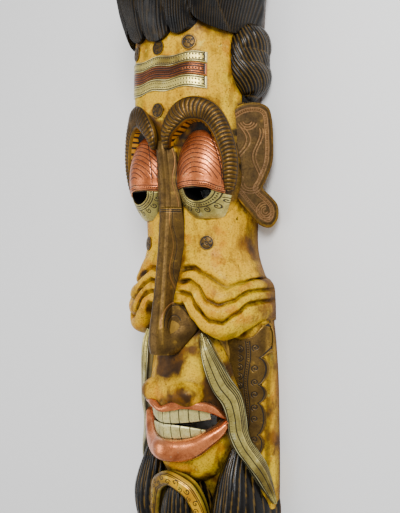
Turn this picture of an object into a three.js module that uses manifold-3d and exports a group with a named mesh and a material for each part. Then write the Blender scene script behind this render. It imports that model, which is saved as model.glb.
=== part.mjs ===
import * as THREE from 'three';
import Module from 'manifold-3d';

// Long carved wooden mask lying on its back: X to the mask's own left, Y up the head, Z out of the face.
// All sizes are millimetres. The flat rim of the hollow back rests on Z = 0.

// Overall sizes
const CROWN_Y = 440;
const BEARD_Y = -440;
const FOREHEAD_HALF = 80;
const FOREHEAD_Z = 121;
const CHEEK_HALF = 78;
const JOWL_HALF = 105;
const SLAB_HALF = 110;
const BORDER_HEIGHT = 14;

// Sheet metal
const SHEET = 1.4;
const GAP = 0.3;
// Past every side of the mask, for cuts that go right through it
const REACH = 1.5 * CROWN_Y;

// Each section row: height Y, rim half-width, widest half-width, wall height, front height, squareness
const FACE_ROWS = [
  [310, 78, FOREHEAD_HALF, 14, FOREHEAD_Z - 2, 3.0],
  [190, 78, FOREHEAD_HALF, 12, FOREHEAD_Z, 3.0],
  [160, 78, 82, 16, 112, 2.9],
  [110, 77, 82, 24, 100, 2.8],
  [60, 75, CHEEK_HALF, 28, 94, 2.8],
  [15, 75, CHEEK_HALF, 28, 92, 2.8],
  [-15, 86, 88, 24, 96, 2.8],
  [-40, 100, 101, 20, 102, 2.9],
  [-65, 103, JOWL_HALF, 18, 107, 3.0],
  [-115, 104, JOWL_HALF, 18, 100, 2.8],
];
// Heights of the face stations; below the cheek they bend with the grooves and the jowl edge
const FACE_STEPS = [310, 270, 232, 196, 172, 150, 120, 90, 60, 28, 2, -17, -24, -31, -41, -50, -58, -65,
  -72, -80, -92, -104, -113];
const CHEEK_START = 28;
const GROOVE_STEPS = [-24, -50, -72];
const JOWL_STEP = -113;
const FACE_COLUMNS = 16;

// Lower edge of the jowls and the three grooves above it: distance from the middle, height
const JOWL_EDGE = [[0, -66], [30, -66], [40, -90], [55, -104], [72, -110], [87, -105], [100, -92],
  [106, -84]];
const GROOVES = [
  [[20, -18], [30, -16], [42, -15], [55, -24], [77, -40], [88, -35], [96, -26]],
  [[20, -34], [28, -33], [38, -31], [52, -39], [63, -56], [77, -62], [91, -57], [100, -46], [106, -43]],
  [[20, -47], [28, -47], [42, -50], [52, -66], [67, -82], [82, -85], [95, -73], [102, -61], [108, -57]],
];
const GROOVE_DEPTH = 4.5;
const GROOVE_HALF = 4.5;
const ROLL_RISE = 2.5;

const SLAB_ROWS = [
  [-50, 96, 100, BORDER_HEIGHT, 50, 2.4],
  [-120, 105, 106, BORDER_HEIGHT, 52, 2.4],
  [-190, 109, SLAB_HALF, BORDER_HEIGHT, 52, 2.4],
  [-345, 109, SLAB_HALF, BORDER_HEIGHT, 50, 2.4],
  [-390, 100, 101, BORDER_HEIGHT, 46, 2.4],
  [-418, 82, 83, 18, 38, 2.4],
  [-428, 66, 66, 12, 28, 2.2],
];
const MUZZLE_ROWS = [
  [-70, 52, 54, 34, 96, 1.9],
  [-120, 58, 60, 36, 102, 1.9],
  [-150, 64, 66, 36, 107, 1.8],
  [-180, 70, 72, 36, 113, 1.6],
  [-205, 72, 74, 34, 114, 1.5],
  [-240, 72, 73, 32, 111, 1.4],
  [-268, 62, 64, 30, 101, 1.5],
  [-292, 48, 50, 26, 88, 1.7],
  [-306, 28, 30, 18, 70, 1.9],
];

const HAIR_ROWS = [
  [196, 72, 76, 16, 92, 2.8],
  [212, 80, 86, 18, 112, 2.8],
  [262, 84, 88, 18, 121, 2.8],
  [286, 84, 88, 18, 126, 2.8],
  [304, 85, 92, 18, 135, 2.8],
  [336, 87, 99, 20, 145, 2.8],
  [380, 90, 103, 20, 150, 2.8],
  [412, 84, 94, 18, 141, 2.6],
  [428, 66, 74, 14, 116, 2.4],
  [CROWN_Y, 40, 46, 10, 80, 2.2],
];
const HAIRLINE_Z = 44;
const WINDOW_LOW = 150;
// Fringe lobes: from, to, height of the notches at both ends, lowest height
const FRINGE = [[-84, -57, 292, 308, 293], [-57, -22.5, 308, 298, 286], [-22.5, 22.5, 298, 298, 281],
  [22.5, 57, 298, 308, 286], [57, 84, 308, 292, 293]];
// Side locks: bulges of hair beside the forehead: X, Y, Z and three radii
const LOCKS = [[77, 285, 27, 28, 26, 31], [77, 238, 27, 29, 28, 31], [78, 262, 32, 24, 56, 34]];

const EYE = { x: 44, y: 108, z: 64, rx: 42, ry: 68, rz: 47 };
const SOCKET = { x: 50, y: 132, z: 112, rx: 35, ry: 54, rz: 25 };
const EYE_HOLE = { x: 52, y: 88, half: 19, drop: 16 };
// Lower edge of the upper eyelid and upper edge of the lower one: distance from the middle, height
const LID_EDGE = [[10, 90], [22, 88], [34, 89.5], [50, 90], [66, 88], [78, 82], [87, 77]];
const LID_OUTER = 83;
const LID_THICK = 2.6;
const EYE_FOOT_Z = 40;
const MOUTH_FOOT_Z = 60;

// Nose rows: height, ridge Z, half-width at the foot, Z of the foot, ridge half-width
const NOSE_ROWS = [
  [152, 116, 13, 106, 5],
  [139, 117, 16, 104, 6],
  [76, 111, 19, 98, 7],
  [8, 115, 21, 86, 7],
  [-45, 121, 25, 82, 8],
  [-66, 124, 32, 82, 8.5],
  [-80, 126, 38, 82, 9],
  [-96, 128, 36, 86, 10],
  [-114, 128, 25, 96, 11],
  [-128, 126, 15, 106, 10],
];
const NOSE_SEAM_Y = 64;

const BAND_HALF = 64;
const BAND_EDGES = [261, 247, 231, 215];
const DISC_RADIUS = 9.5;
const DISC_HEIGHT = 1.8;

// Brow arch path: X, Y, Z, half-width
const BROW_PATH = [[11, 142, 113, 4], [14, 160, 117, 9.5], [26, 177, 116, 13.5], [39, 188, 112, 15.5],
  [54, 189, 106, 15.5], [67, 183, 97, 14.5], [78, 167, 91, 13], [85, 145, 86, 12], [88, 124, 82, 11.5],
  [86, 103, 79, 10.5], [82, 86, 76, 8]];
const MOUSTACHE_PATH = [[47, -100, 87, 3], [54, -121, 86, 8], [61, -144, 81, 12], [69, -167, 73, 14],
  [78, -186, 64, 14], [82, -209, 59, 12.5], [82, -229, 55, 12.5], [87, -247, 50, 12], [95, -262, 43, 11.5],
  [104, -279, 36, 11], [110, -299, 29, 8], [114, -324, 18, 2.5]];
const CHIN_PATH = [[-4, -296, 97, 10.5], [12, -298, 96, 10.5], [23, -305, 92, 10.5], [32, -317, 87, 10],
  [38, -333, 82, 9], [42, -350, 78, 7], [43, -364, 74, 3]];

// Ear outline on its plate: distance out from the root, height
const EAR_OUTLINE = [[-6, 186], [2, 186], [20, 198], [40, 202], [57, 197], [63, 182], [65, 152], [64, 124],
  [55, 99], [51, 90], [62, 79], [71, 67], [71, 50], [61, 38], [46, 43], [29, 62], [10, 84], [-6, 96]];
const EAR_ROOT = [67, 66];
const EAR_ANGLE = 44;
const EAR_THICK = 10;
const EAR_RIM = 3;

// Lips and mouth on one side: distance from the middle, height, half-width
const UPPER_LIP = [[0, -200, 4.5], [14, -196, 6], [27, -192, 7.2], [42, -194, 6.8], [54, -199, 6.4],
  [64, -211, 4]];
const LOWER_LIP = [[0, -255, 15.5], [18, -255, 15.5], [34, -250, 14], [47, -240, 11.5], [58, -229, 9],
  [65, -217, 5]];
const MOUTH_TOP = [[0, -201], [27, -194], [42, -196], [54, -202], [61, -212]];
const MOUTH_LOW = [[54, -226], [42, -237], [27, -243], [0, -244]];
const TOOTH_LINE = -219.5;
const TEETH_TOP = -197;
const TEETH_LOW = -242;
const UPPER_TEETH_HALF = 52;
const LOWER_TEETH_HALF = 46;

const wasm = await Module();
wasm.setup();

const V = (x, y, z) => new THREE.Vector3(x, y, z);
const clamp01 = (t) => Math.min(1, Math.max(0, t));
const smooth = (t) => clamp01(t) * clamp01(t) * (3 - 2 * clamp01(t));

// Smooth curve through table rows, read by the value in the first column
function readRows(rows, at) {
  const list = rows[0][0] < rows[rows.length - 1][0] ? rows : [...rows].reverse();
  const last = list.length - 1;
  if (at <= list[0][0]) {
    return list[0].slice(1);
  }
  if (at >= list[last][0]) {
    return list[last].slice(1);
  }
  let i = 0;
  while (list[i + 1][0] < at) {
    i += 1;
  }
  const a = list[i];
  const b = list[i + 1];
  const before = list[Math.max(0, i - 1)];
  const after = list[Math.min(last, i + 2)];
  const span = b[0] - a[0];
  const t = (at - a[0]) / span;
  return a.slice(1).map((value, k) => {
    const c = k + 1;
    const slopeA = (b[c] - before[c]) / (b[0] - before[0]);
    const slopeB = (after[c] - a[c]) / (after[0] - a[0]);
    const t2 = t * t;
    const t3 = t2 * t;
    return a[c] * (2 * t3 - 3 * t2 + 1) + b[c] * (3 * t2 - 2 * t3)
      + span * (slopeA * (t3 - 2 * t2 + t) + slopeB * (t3 - t2));
  });
}

function readLine(points, x) {
  if (x <= points[0][0]) {
    return points[0][1];
  }
  for (let i = 1; i < points.length; i += 1) {
    if (x <= points[i][0]) {
      const t = (x - points[i - 1][0]) / (points[i][0] - points[i - 1][0]);
      return THREE.MathUtils.lerp(points[i - 1][1], points[i][1], smooth(t) * 0.5 + t * 0.5);
    }
  }
  return points[points.length - 1][1];
}

// Point of a D-shaped section: turn runs from -1 at the left wall through 0 in front to 1 at the right wall
function sectionPoint(rows, y, turn) {
  const [, half, wall, front, square] = readRows(rows, y);
  const angle = (turn * Math.PI) / 2;
  const side = Math.abs(Math.sin(angle)) ** (2 / square);
  const out = Math.abs(Math.cos(angle)) ** (2 / square);
  return V(Math.sign(turn) * half * side, y, wall + (front - wall) * out);
}

// Height of a face station at a distance from the middle
function faceHeight(station, x) {
  const bends = GROOVE_STEPS.map((step, i) => [step, readLine(GROOVES[i], x)]);
  const knots = [[CHEEK_START, CHEEK_START], ...bends, [JOWL_STEP, readLine(JOWL_EDGE, x)]];
  if (station >= CHEEK_START) {
    return station;
  }
  const i = Math.max(1, knots.findIndex(([step]) => step <= station));
  const [a, ya] = knots[i - 1];
  const [b, yb] = knots[i];
  return THREE.MathUtils.lerp(ya, yb, (station - a) / (b - a));
}

// Depth of the grooves less the swelling of the rolls between them
function faceDip(station, x) {
  const depths = GROOVE_STEPS.map((step) => Math.exp(-(((station - step) / GROOVE_HALF) ** 2)));
  const groove = Math.max(...depths);
  const marks = [CHEEK_START - 26, ...GROOVE_STEPS, JOWL_STEP + 6];
  const i = marks.findIndex((mark) => mark <= station);
  const inside = i > 0 ? (marks[i - 1] - station) / (marks[i - 1] - marks[i]) : 0;
  const fade = smooth((x - 16) / 10);
  return fade * (GROOVE_DEPTH * groove - ROLL_RISE * Math.sin(Math.PI * clamp01(inside)));
}

function facePoint(station, turn) {
  const rough = sectionPoint(FACE_ROWS, Math.max(station, -100), turn);
  const y = faceHeight(station, Math.abs(rough.x));
  const point = sectionPoint(FACE_ROWS, y, turn);
  point.y = y;
  const near = clamp01((JOWL_STEP + 18 - station) / 18);
  const round = 1 - 0.24 * near * near * near;
  point.z *= round;
  point.x *= 1 - 0.04 * near * near * near;
  const dip = faceDip(station, Math.abs(point.x)) * (1 - near);
  const level = Math.hypot(point.x, point.z) || 1;
  point.x -= (dip * point.x) / level;
  point.z -= (dip * point.z) / level;
  return point;
}

// Closed solid from rings of equal length, each ring a closed loop, with flat caps on both ends
function ringSolid(rings) {
  const count = rings[0].length;
  const verts = [];
  rings.forEach((ring) => ring.forEach((p) => verts.push(p.x, p.y, p.z)));
  const tris = [];
  for (let r = 0; r < rings.length - 1; r += 1) {
    for (let i = 0; i < count; i += 1) {
      const j = (i + 1) % count;
      const a = r * count + i;
      const b = r * count + j;
      const c = (r + 1) * count + j;
      const d = (r + 1) * count + i;
      tris.push(a, b, c, a, c, d);
    }
  }
  const cap = (ring, base, flip) => {
    const normal = V(0, 0, 0);
    ring.forEach((p, i) => {
      const q = ring[(i + 1) % count];
      normal.add(V((p.y - q.y) * (p.z + q.z), (p.z - q.z) * (p.x + q.x), (p.x - q.x) * (p.y + q.y)));
    });
    const size = [Math.abs(normal.x), Math.abs(normal.y), Math.abs(normal.z)];
    const drop = size.indexOf(Math.max(...size));
    const flat = ring.map((p) => {
      if (drop === 0) {
        return new THREE.Vector2(p.y, p.z);
      }
      if (drop === 1) {
        return new THREE.Vector2(p.z, p.x);
      }
      return new THREE.Vector2(p.x, p.y);
    });
    const turnSign = [normal.x, normal.y, normal.z][drop] > 0;
    THREE.ShapeUtils.triangulateShape(flat, []).forEach(([a, b, c]) => {
      const pa = flat[a];
      const pb = flat[b];
      const pc = flat[c];
      const area = (pb.x - pa.x) * (pc.y - pa.y) - (pb.y - pa.y) * (pc.x - pa.x);
      const forward = (area > 0) === turnSign;
      const keep = forward !== flip;
      tris.push(base + a, base + (keep ? b : c), base + (keep ? c : b));
    });
  };
  cap(rings[0], 0, true);
  cap(rings[rings.length - 1], (rings.length - 1) * count, false);
  return makeManifold(verts, tris);
}

function makeManifold(verts, tris) {
  const build = (order) => new wasm.Manifold(new wasm.Mesh({
    numProp: 3,
    vertProperties: new Float32Array(verts),
    triVerts: new Uint32Array(order),
  }));
  const solid = build(tris);
  if (solid.volume() > 0) {
    return solid;
  }
  const flipped = [];
  for (let i = 0; i < tris.length; i += 3) {
    flipped.push(tris[i], tris[i + 2], tris[i + 1]);
  }
  return build(flipped);
}

// Surface sheet grown outward by a distance: rows and columns of a surface function
function grownGrid(surface, us, vs, grow) {
  const step = 0.01;
  return us.map((u) => vs.map((v) => {
    const p = surface(u, v);
    if (grow === 0) {
      return p;
    }
    const du = surface(u + step * 20, v).sub(surface(u - step * 20, v));
    const dv = surface(u, Math.min(1, v + step)).sub(surface(u, Math.max(-1, v - step)));
    const n = dv.cross(du).normalize();
    if (n.dot(V(p.x, 0, p.z)) < 0) {
      n.negate();
    }
    return p.addScaledVector(n, grow);
  }));
}

const turns = (count) => Array.from({ length: count + 1 }, (_, i) => (i / count) * 2 - 1);

// D-shaped body loft: front arc of every row closed by the rim points on the back plane
function bodyLoft(rows, surface, us, columns, grow, floor = 0) {
  const grid = grownGrid(surface, us, turns(columns), grow);
  const rings = grid.map((arc, k) => {
    const rim = readRows(rows, us[k])[0] + grow;
    const y = arc[0].y;
    const right = arc[arc.length - 1];
    return [V(-rim, y, floor), ...arc, V(rim, right.y, floor)];
  });
  if (grow > 0) {
    const push = (ring, dir) => ring.forEach((p) => { p.y += dir * grow; });
    push(rings[0], Math.sign(us[0] - us[us.length - 1]));
    push(rings[rings.length - 1], Math.sign(us[us.length - 1] - us[0]));
  }
  return ringSolid(rings);
}

const steps = (from, to, count) => {
  const step = (to - from) / count;
  return Array.from({ length: count + 1 }, (_, i) => from + step * i);
};

function ellipsoid(x, y, z, rx, ry, rz, around = 14, up = 8) {
  const rings = [];
  for (let r = 0; r <= up; r += 1) {
    const lat = Math.PI * (0.02 + (0.96 * r) / up) - Math.PI / 2;
    rings.push(Array.from({ length: around }, (_, i) => {
      const a = (i / around) * Math.PI * 2;
      const flat = Math.cos(lat);
      return V(x + rx * flat * Math.cos(a), y + ry * Math.sin(lat), z + rz * flat * Math.sin(a));
    }));
  }
  return ringSolid(rings);
}

function prism(outline, low, high) {
  const apart = (p, q) => Math.hypot(p[0] - q[0], p[1] - q[1]) > 0.01;
  const clean = outline.filter((p, i) => apart(p, outline[(i + 1) % outline.length]));
  const level = (z) => clean.map(([x, y]) => V(x, y, z));
  return ringSolid([level(low), level(high)]);
}

const mirror = (solid) => solid.mirror([1, 0, 0]);
const joinAll = (list) => list.reduce((a, b) => a.add(b));
const both = (solid) => solid.add(mirror(solid));
// Makes the two sides exact mirror images
function symmetric(solid) {
  const right = prism([[0, -REACH], [REACH, -REACH], [REACH, REACH], [0, REACH]], -REACH, REACH);
  return both(solid.intersect(right));
}

const faceSolid = (grow) => bodyLoft(FACE_ROWS, facePoint, FACE_STEPS, FACE_COLUMNS, grow);
const section = (rows) => (y, turn) => sectionPoint(rows, y, turn);
const rowSolid = (rows, columns, grow, floor) => {
  const heights = rows.map(([y]) => y);
  return bodyLoft(rows, section(rows), heights, columns, grow, floor);
};
const slabSolid = (grow) => rowSolid(SLAB_ROWS, 10, grow);
const muzzleSolid = (grow) => rowSolid(MUZZLE_ROWS, 12, grow);

function fringeOutline(grow) {
  const points = [];
  FRINGE.forEach(([from, to, a, b, low]) => {
    steps(0, 1, 5).forEach((t) => {
      const chord = THREE.MathUtils.lerp(a, b, t);
      const sag = Math.sqrt(Math.max(0, 1 - (2 * t - 1) ** 2));
      const deep = (a + b) / 2 - low;
      points.push([THREE.MathUtils.lerp(from, to, t), chord - deep * sag]);
    });
  });
  const lowered = points.map(([x, y]) => [x, y - 1.5 * grow]);
  const apart = (p, q) => Math.hypot(p[0] - q[0], p[1] - q[1]) > 0.01;
  const clean = lowered.filter((p, i) => i === 0 || apart(p, lowered[i - 1]));
  const end = FRINGE[0][2];
  return [[-REACH, WINDOW_LOW], [REACH, WINDOW_LOW], [REACH, end], ...clean.reverse(), [-REACH, end]];
}

function hairSolid(grow) {
  const cap = rowSolid(HAIR_ROWS, 12, grow);
  const window = prism(fringeOutline(grow), HAIRLINE_Z + grow, REACH);
  const locks = LOCKS.map(([x, y, z, ...radii]) => {
    const [rx, ry, rz] = radii.map((r) => r + grow);
    return both(ellipsoid(x, y, z, rx, ry, rz, 12, 7));
  });
  const square = [[-REACH, -REACH], [REACH, -REACH], [REACH, REACH], [-REACH, REACH]];
  const floorCut = prism(square, -REACH, 0);
  return cap.subtract(window).add(joinAll(locks)).subtract(floorCut);
}

function eyeSolid(grow) {
  const { x, y, z, rx, ry, rz } = EYE;
  return both(ellipsoid(x, y, z, rx + grow, ry + grow, rz + grow, 14, 10));
}

// Nose wedge with a rounded ridge, its foot buried in the face
function noseSolid(grow, from = 152, to = -128) {
  const rings = [from, 139, 76, 42, 8, -45, -66, -80, -96, -114, to].map((y) => {
    const [ridge, foot, footZ, crest] = readRows(NOSE_ROWS, y);
    const top = ridge + grow;
    const wide = foot + grow;
    const high = footZ + grow;
    const c = crest + grow * 0.6;
    const half = [[wide, 30], [wide, high - 4], [c * 1.45, high + (top - high) * 0.62],
      [c, top - 3.2], [c * 0.45, top]];
    const right = half.map(([x, z]) => V(x, y, z));
    const left = half.map(([x, z]) => V(-x, y, z)).reverse();
    return [...right, ...left];
  });
  const grown = Math.sign(from - to) * grow;
  rings[0].forEach((p) => { p.y += grown; });
  rings[rings.length - 1].forEach((p) => { p.y -= grown; });
  return ringSolid(rings);
}

// Bar along a path: rounded back, sunk foot; rows of X, Y, Z, half-width
function pathBar(path, count, high, sink, ridge = 0.62, grow = 0) {
  const curve = new THREE.CatmullRomCurve3(path.map(([x, y, z]) => V(x, y, z)), false, 'centripetal');
  const rings = steps(0, 1, count).map((t) => {
    const p = curve.getPoint(t);
    const along = curve.getTangent(t);
    const out = V(p.x * 0.9, 0, p.z).normalize();
    out.addScaledVector(along, -out.dot(along)).normalize();
    const side = along.clone().cross(out).normalize();
    const at = t * (path.length - 1);
    const i = Math.min(path.length - 2, Math.floor(at));
    const plain = THREE.MathUtils.lerp(path[i][3], path[i + 1][3], at - i);
    const half = plain + grow;
    const lift = high * Math.min(1, 0.35 + plain / 10) + grow;
    const low = -sink - grow;
    const shape = [[-1, low], [-1, 0.1 * lift], [-ridge, 0.8 * lift], [0, lift],
      [ridge, 0.8 * lift], [1, 0.1 * lift], [1, low]];
    return shape.map(([a, b]) => p.clone().addScaledVector(side, a * half).addScaledVector(out, b));
  });
  if (grow > 0) {
    const first = rings[0][0].clone().sub(rings[1][0]).setLength(grow);
    const last = rings[count][0].clone().sub(rings[count - 1][0]).setLength(grow);
    rings[0].forEach((p) => p.add(first));
    rings[count].forEach((p) => p.add(last));
  }
  return ringSolid(rings);
}

// Ear plate coordinates to the mask frame
function earPoint(out, y, lift) {
  const a = THREE.MathUtils.degToRad(EAR_ANGLE);
  const x = EAR_ROOT[0] + out * Math.cos(a) + lift * Math.sin(a);
  const z = EAR_ROOT[1] - out * Math.sin(a) + lift * Math.cos(a);
  return V(x, y, z);
}

function insetOutline(outline, amount) {
  const n = outline.length;
  const area = outline.reduce((sum, [x, y], i) => {
    const [u, v] = outline[(i + 1) % n];
    return sum + x * v - u * y;
  }, 0);
  const s = area > 0 ? 1 : -1;
  return outline.map(([x, y], i) => {
    const [ax, ay] = outline[(i + n - 1) % n];
    const [bx, by] = outline[(i + 1) % n];
    const d1 = new THREE.Vector2(x - ax, y - ay).normalize();
    const d2 = new THREE.Vector2(bx - x, by - y).normalize();
    const n1 = new THREE.Vector2(-d1.y, d1.x);
    const n2 = new THREE.Vector2(-d2.y, d2.x);
    const m = n1.clone().add(n2).normalize();
    const k = (s * amount) / Math.max(0.5, m.dot(n1));
    return [x + m.x * k, y + m.y * k];
  });
}

function roundOutline(points, per = 4) {
  const curve = new THREE.CatmullRomCurve3(points.map(([x, y]) => V(x, y, 0)), true, 'centripetal');
  return steps(0, 1, points.length * per).slice(0, -1).map((t) => {
    const p = curve.getPoint(t);
    return [p.x, p.y];
  });
}

function earSolid(grow) {
  const outline = roundOutline(insetOutline(EAR_OUTLINE, -grow), 2);
  const level = (lift) => outline.map(([u, y]) => earPoint(u, y, lift));
  return both(ringSolid([level(-EAR_THICK - grow), level(grow)]));
}

function beardSolid(grow) {
  const ends = (i, last) => (i === 0 ? grow : 0) - (i === last ? grow : 0);
  const lobe = (cx, rows) => ringSolid(rows.map(([y, half, front, shift], k) => {
    const at = y + ends(k, rows.length - 1);
    return Array.from({ length: 10 }, (_, i) => {
      const a = (i / 9) * Math.PI;
      const x = cx + shift - Math.cos(a) * (half + grow);
      return V(x, at, Math.sin(a) ** 0.8 * (front + grow));
    });
  }));
  const middle = lobe(0, [[-296, 10, 84, 0], [-304, 20, 93, 0], [-316, 32, 99, 0], [-335, 42, 102, 0],
    [-360, 47, 101, 0], [-385, 46, 94, 0], [-408, 38, 80, 0], [-428, 24, 60, 0], [BEARD_Y, 8, 36, 0]]);
  const side = lobe(68, [[-248, 8, 50, 4], [-262, 16, 58, 3], [-285, 26, 70, 2], [-310, 35, 78, 3],
    [-335, 41, 82, 3], [-365, 42, 80, 0], [-390, 36, 70, -4], [-412, 26, 54, -8], [-432, 10, 28, -14]]);
  return middle.add(both(side));
}

// Swelling over the upper lip beside the philtrum
const BULGE = { x: 24, y: -180, z: 92, rx: 27, ry: 21, rz: 26 };
function lipBulge(grow) {
  const { x, y, z, rx, ry, rz } = BULGE;
  return ellipsoid(x, y, z, rx + grow, ry + grow, rz + grow, 12, 8);
}

function bodySolids(grow) {
  const { x, y, z, rx, ry, rz } = SOCKET;
  const socket = both(ellipsoid(x, y, z, rx - grow, ry - grow, rz - grow, 12, 8));
  const bulges = both(lipBulge(grow));
  const face = faceSolid(grow).subtract(socket).add(eyeSolid(grow));
  const parts = [slabSolid(grow), muzzleSolid(grow), bulges, noseSolid(grow), hairSolid(grow),
    earSolid(grow), beardSolid(grow)];
  return symmetric(joinAll([face, ...parts]));
}

const otherSide = (points) => points.map(([x, y]) => [-x, y]).reverse();
const mouthOutline = [...MOUTH_TOP, ...MOUTH_LOW, ...otherSide(MOUTH_LOW.slice(0, -1)),
  ...otherSide(MOUTH_TOP.slice(1))];

const eyeHoleOutline = (grow) => {
  const { x, y, half, drop } = EYE_HOLE;
  const arc = steps(0, 1, 8).map((t) => {
    const a = Math.PI * t;
    return [x + (half + grow) * Math.cos(a), y - (drop + grow) * Math.sin(a)];
  });
  return [...arc].reverse();
};

// Hollow back, open to the rim; below the cheeks it narrows to stay behind the muzzle
const HOLLOW_ROWS = [
  [258, 58, 58, 26, 62, 3],
  [240, 64, 65, 34, 96, 3],
  [190, 64, 66, 34, 102, 3],
  [110, 62, 67, 40, 80, 3],
  [50, 60, 63, 40, 74, 3],
  [-40, 78, 74, 36, 80, 3],
  [-84, 84, 53, 48, 76, 3],
  [-150, 88, 51, 50, 76, 3],
  [-210, 90, 51, 50, 78, 3],
  [-250, 90, 50, 48, 74, 3],
  [-290, 80, 40, 16, 40, 2.4],
];
const hollow = rowSolid(HOLLOW_ROWS, 10, 0, -1);

let body = bodySolids(0).subtract(hollow);
const holes = both(prism(eyeHoleOutline(0), EYE_FOOT_Z, REACH));
body = body.subtract(holes).subtract(prism(mouthOutline, MOUTH_FOOT_Z, REACH));

const around = bodySolids(GAP);

// Sheet lying on a grown surface inside an outline
const sheetOn = (surface, outline, low = 30) => surface(GAP + SHEET).subtract(surface(GAP))
  .intersect(prism(outline, low, REACH));

const nodes = [];
// Keeps the main body of a cut piece and drops the crumbs left beside it
const mainBody = (solid) => solid.decompose().reduce((a, b) => (b.volume() > a.volume() ? b : a));
const node = (name, solid, color, metal, rough) => {
  nodes.push({ name, solid: mainBody(solid), color, metal, rough });
};

const WOOD = ['#d9b95c', 0.0, 0.6];
const BRASS = ['#6d5a32', 0.9, 0.5];
const COPPER = ['#c07357', 0.9, 0.45];
const SILVER = ['#c9c48f', 0.9, 0.4];
const BONE = ['#d8d2b0', 0.1, 0.5];
const pair = (name, solid, look) => {
  node(`${name}_left`, solid, ...look);
  node(`${name}_right`, mirror(solid), ...look);
};

node('mask_body', body, ...WOOD);

const noseShell = symmetric(noseSolid(GAP + SHEET).subtract(noseSolid(GAP))).subtract(around);
const between = (from, to) => {
  const strip = [[-REACH, from], [REACH, from], [REACH, to], [-REACH, to]];
  return prism(strip, -REACH, REACH);
};
node('nose_sheet_upper', noseShell.intersect(between(NOSE_SEAM_Y + GAP, REACH)), ...BRASS);
node('nose_sheet_lower', noseShell.intersect(between(-REACH, NOSE_SEAM_Y)), ...BRASS);

const browBar = (grow) => pathBar(BROW_PATH, 11, 9, 24, 0.62, grow);
const noseRoom = noseSolid(2 * GAP + SHEET);
const brow = browBar(0).subtract(noseRoom);
const browRoom = browBar(GAP);
pair('brow', brow.subtract(around), BRASS);

const lidOutline = [[10, REACH], ...LID_EDGE.slice(0, -1), [LID_OUTER, 79], [LID_OUTER, REACH]];
const eyeShell = (a, b) => {
  const { x, y, z, rx, ry, rz } = EYE;
  const make = (g) => ellipsoid(x, y, z, rx + g, ry + g, rz + g, 14, 10);
  return make(b).subtract(make(a));
};
const eyelid = eyeShell(GAP, GAP + LID_THICK).intersect(prism(lidOutline, EYE_FOOT_Z, REACH))
  .subtract(around).subtract(browRoom).subtract(noseRoom);
pair('eyelid', eyelid, COPPER);

const lowerOutline = [...LID_EDGE.map(([x, y]) => [x, y - 0.8]), [90, 75], [90, 20], [10, 20]];
const lowerLid = eyeShell(GAP, GAP + SHEET).intersect(prism(lowerOutline, EYE_FOOT_Z, REACH))
  .subtract(prism(eyeHoleOutline(1), 0, REACH)).subtract(around).subtract(noseRoom)
  .subtract(browRoom);
pair('lower_lid', lowerLid, SILVER);

const wave = (x, k) => 1.6 * Math.cos((x / BAND_HALF) * Math.PI * 2.5 + k * 0.4);
const bandNames = ['band_top', 'band_middle', 'band_bottom'];
bandNames.forEach((name, i) => {
  const xs = steps(-BAND_HALF, BAND_HALF, 12);
  const top = xs.map((x) => [x, BAND_EDGES[i] - 0.4 + wave(x, i)]);
  const low = xs.map((x) => [x, BAND_EDGES[i + 1] + 0.4 + wave(x, i + 1)]).reverse();
  node(name, symmetric(sheetOn(faceSolid, [...top, ...low])), ...(i === 1 ? COPPER : SILVER));
});

function disc(x, y) {
  const around14 = steps(0, 2 * Math.PI, 14).slice(0, -1);
  const outline = around14.map((a) => [Math.cos(a), Math.sin(a)]);
  const turnAt = (target) => {
    let best = 0;
    turns(400).forEach((t) => {
      if (Math.abs(facePoint(y, t).x - target) < Math.abs(facePoint(y, best).x - target)) {
        best = t;
      }
    });
    return best;
  };
  const t = turnAt(x);
  const centre = facePoint(y, t);
  const across = facePoint(y, t + 0.02).sub(facePoint(y, t - 0.02)).normalize();
  const up = facePoint(y + 3, t).sub(facePoint(y - 3, t)).normalize();
  const out = across.clone().cross(up).normalize();
  const at = ([a, b], lift) => centre.clone().addScaledVector(across, a * DISC_RADIUS)
    .addScaledVector(up, b * DISC_RADIUS).addScaledVector(out, lift);
  return ringSolid([outline.map((p) => at(p, -6)), outline.map((p) => at(p, GAP + DISC_HEIGHT))]);
}
node('disc_forehead_centre', symmetric(disc(0, 273)).subtract(around), ...BRASS);
pair('disc_forehead', disc(46, 274).subtract(around), BRASS);
node('disc_brow', symmetric(disc(0, 191)).subtract(around), ...BRASS);
pair('disc_cheek', disc(52, 18).subtract(around), BRASS);

const earInner = roundOutline(insetOutline(EAR_OUTLINE, EAR_RIM), 2);
const earLevel = (lift) => earInner.map(([u, y]) => earPoint(u, y, lift));
const earSheet = ringSolid([earLevel(GAP), earLevel(GAP + SHEET)]);
pair('ear_sheet', earSheet.subtract(around).subtract(browRoom).subtract(eyeShell(-30, 4)), BRASS);

// The panel runs from under the jowl and the moustache out to a scalloped edge,
// and rises onto the side of the muzzle
const underJowl = JOWL_EDGE.slice(3).map(([x, y]) => [x, y - SHEET]);
const PANEL_EDGE = [[107, -118], [101.5, -133], [107, -148], [106.5, -160],
  [100.5, -168], [105.5, -180], [100.5, -192], [106.5, -204], [107, -222], [100, -234], [105.5, -248],
  [99, -262], [92, -276]];
const underMoustache = MOUSTACHE_PATH.slice(0, 8).reverse().map(([x, y]) => [x, y]);
const panelOutline = [...underJowl, ...PANEL_EDGE, ...underMoustache];
const panelGround = (grow) => slabSolid(grow).add(muzzleSolid(grow));
const moustacheBar = (grow) => pathBar(MOUSTACHE_PATH, 10, 6.5, 40, 0.3, grow);
const moustache = moustacheBar(0).subtract(noseRoom);
const moustacheRoom = both(moustacheBar(GAP));
const panel = sheetOn(panelGround, panelOutline, 5).subtract(around).subtract(moustacheRoom);
pair('cheek_panel', panel, BRASS);
pair('moustache', moustache.subtract(around), SILVER);

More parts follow.
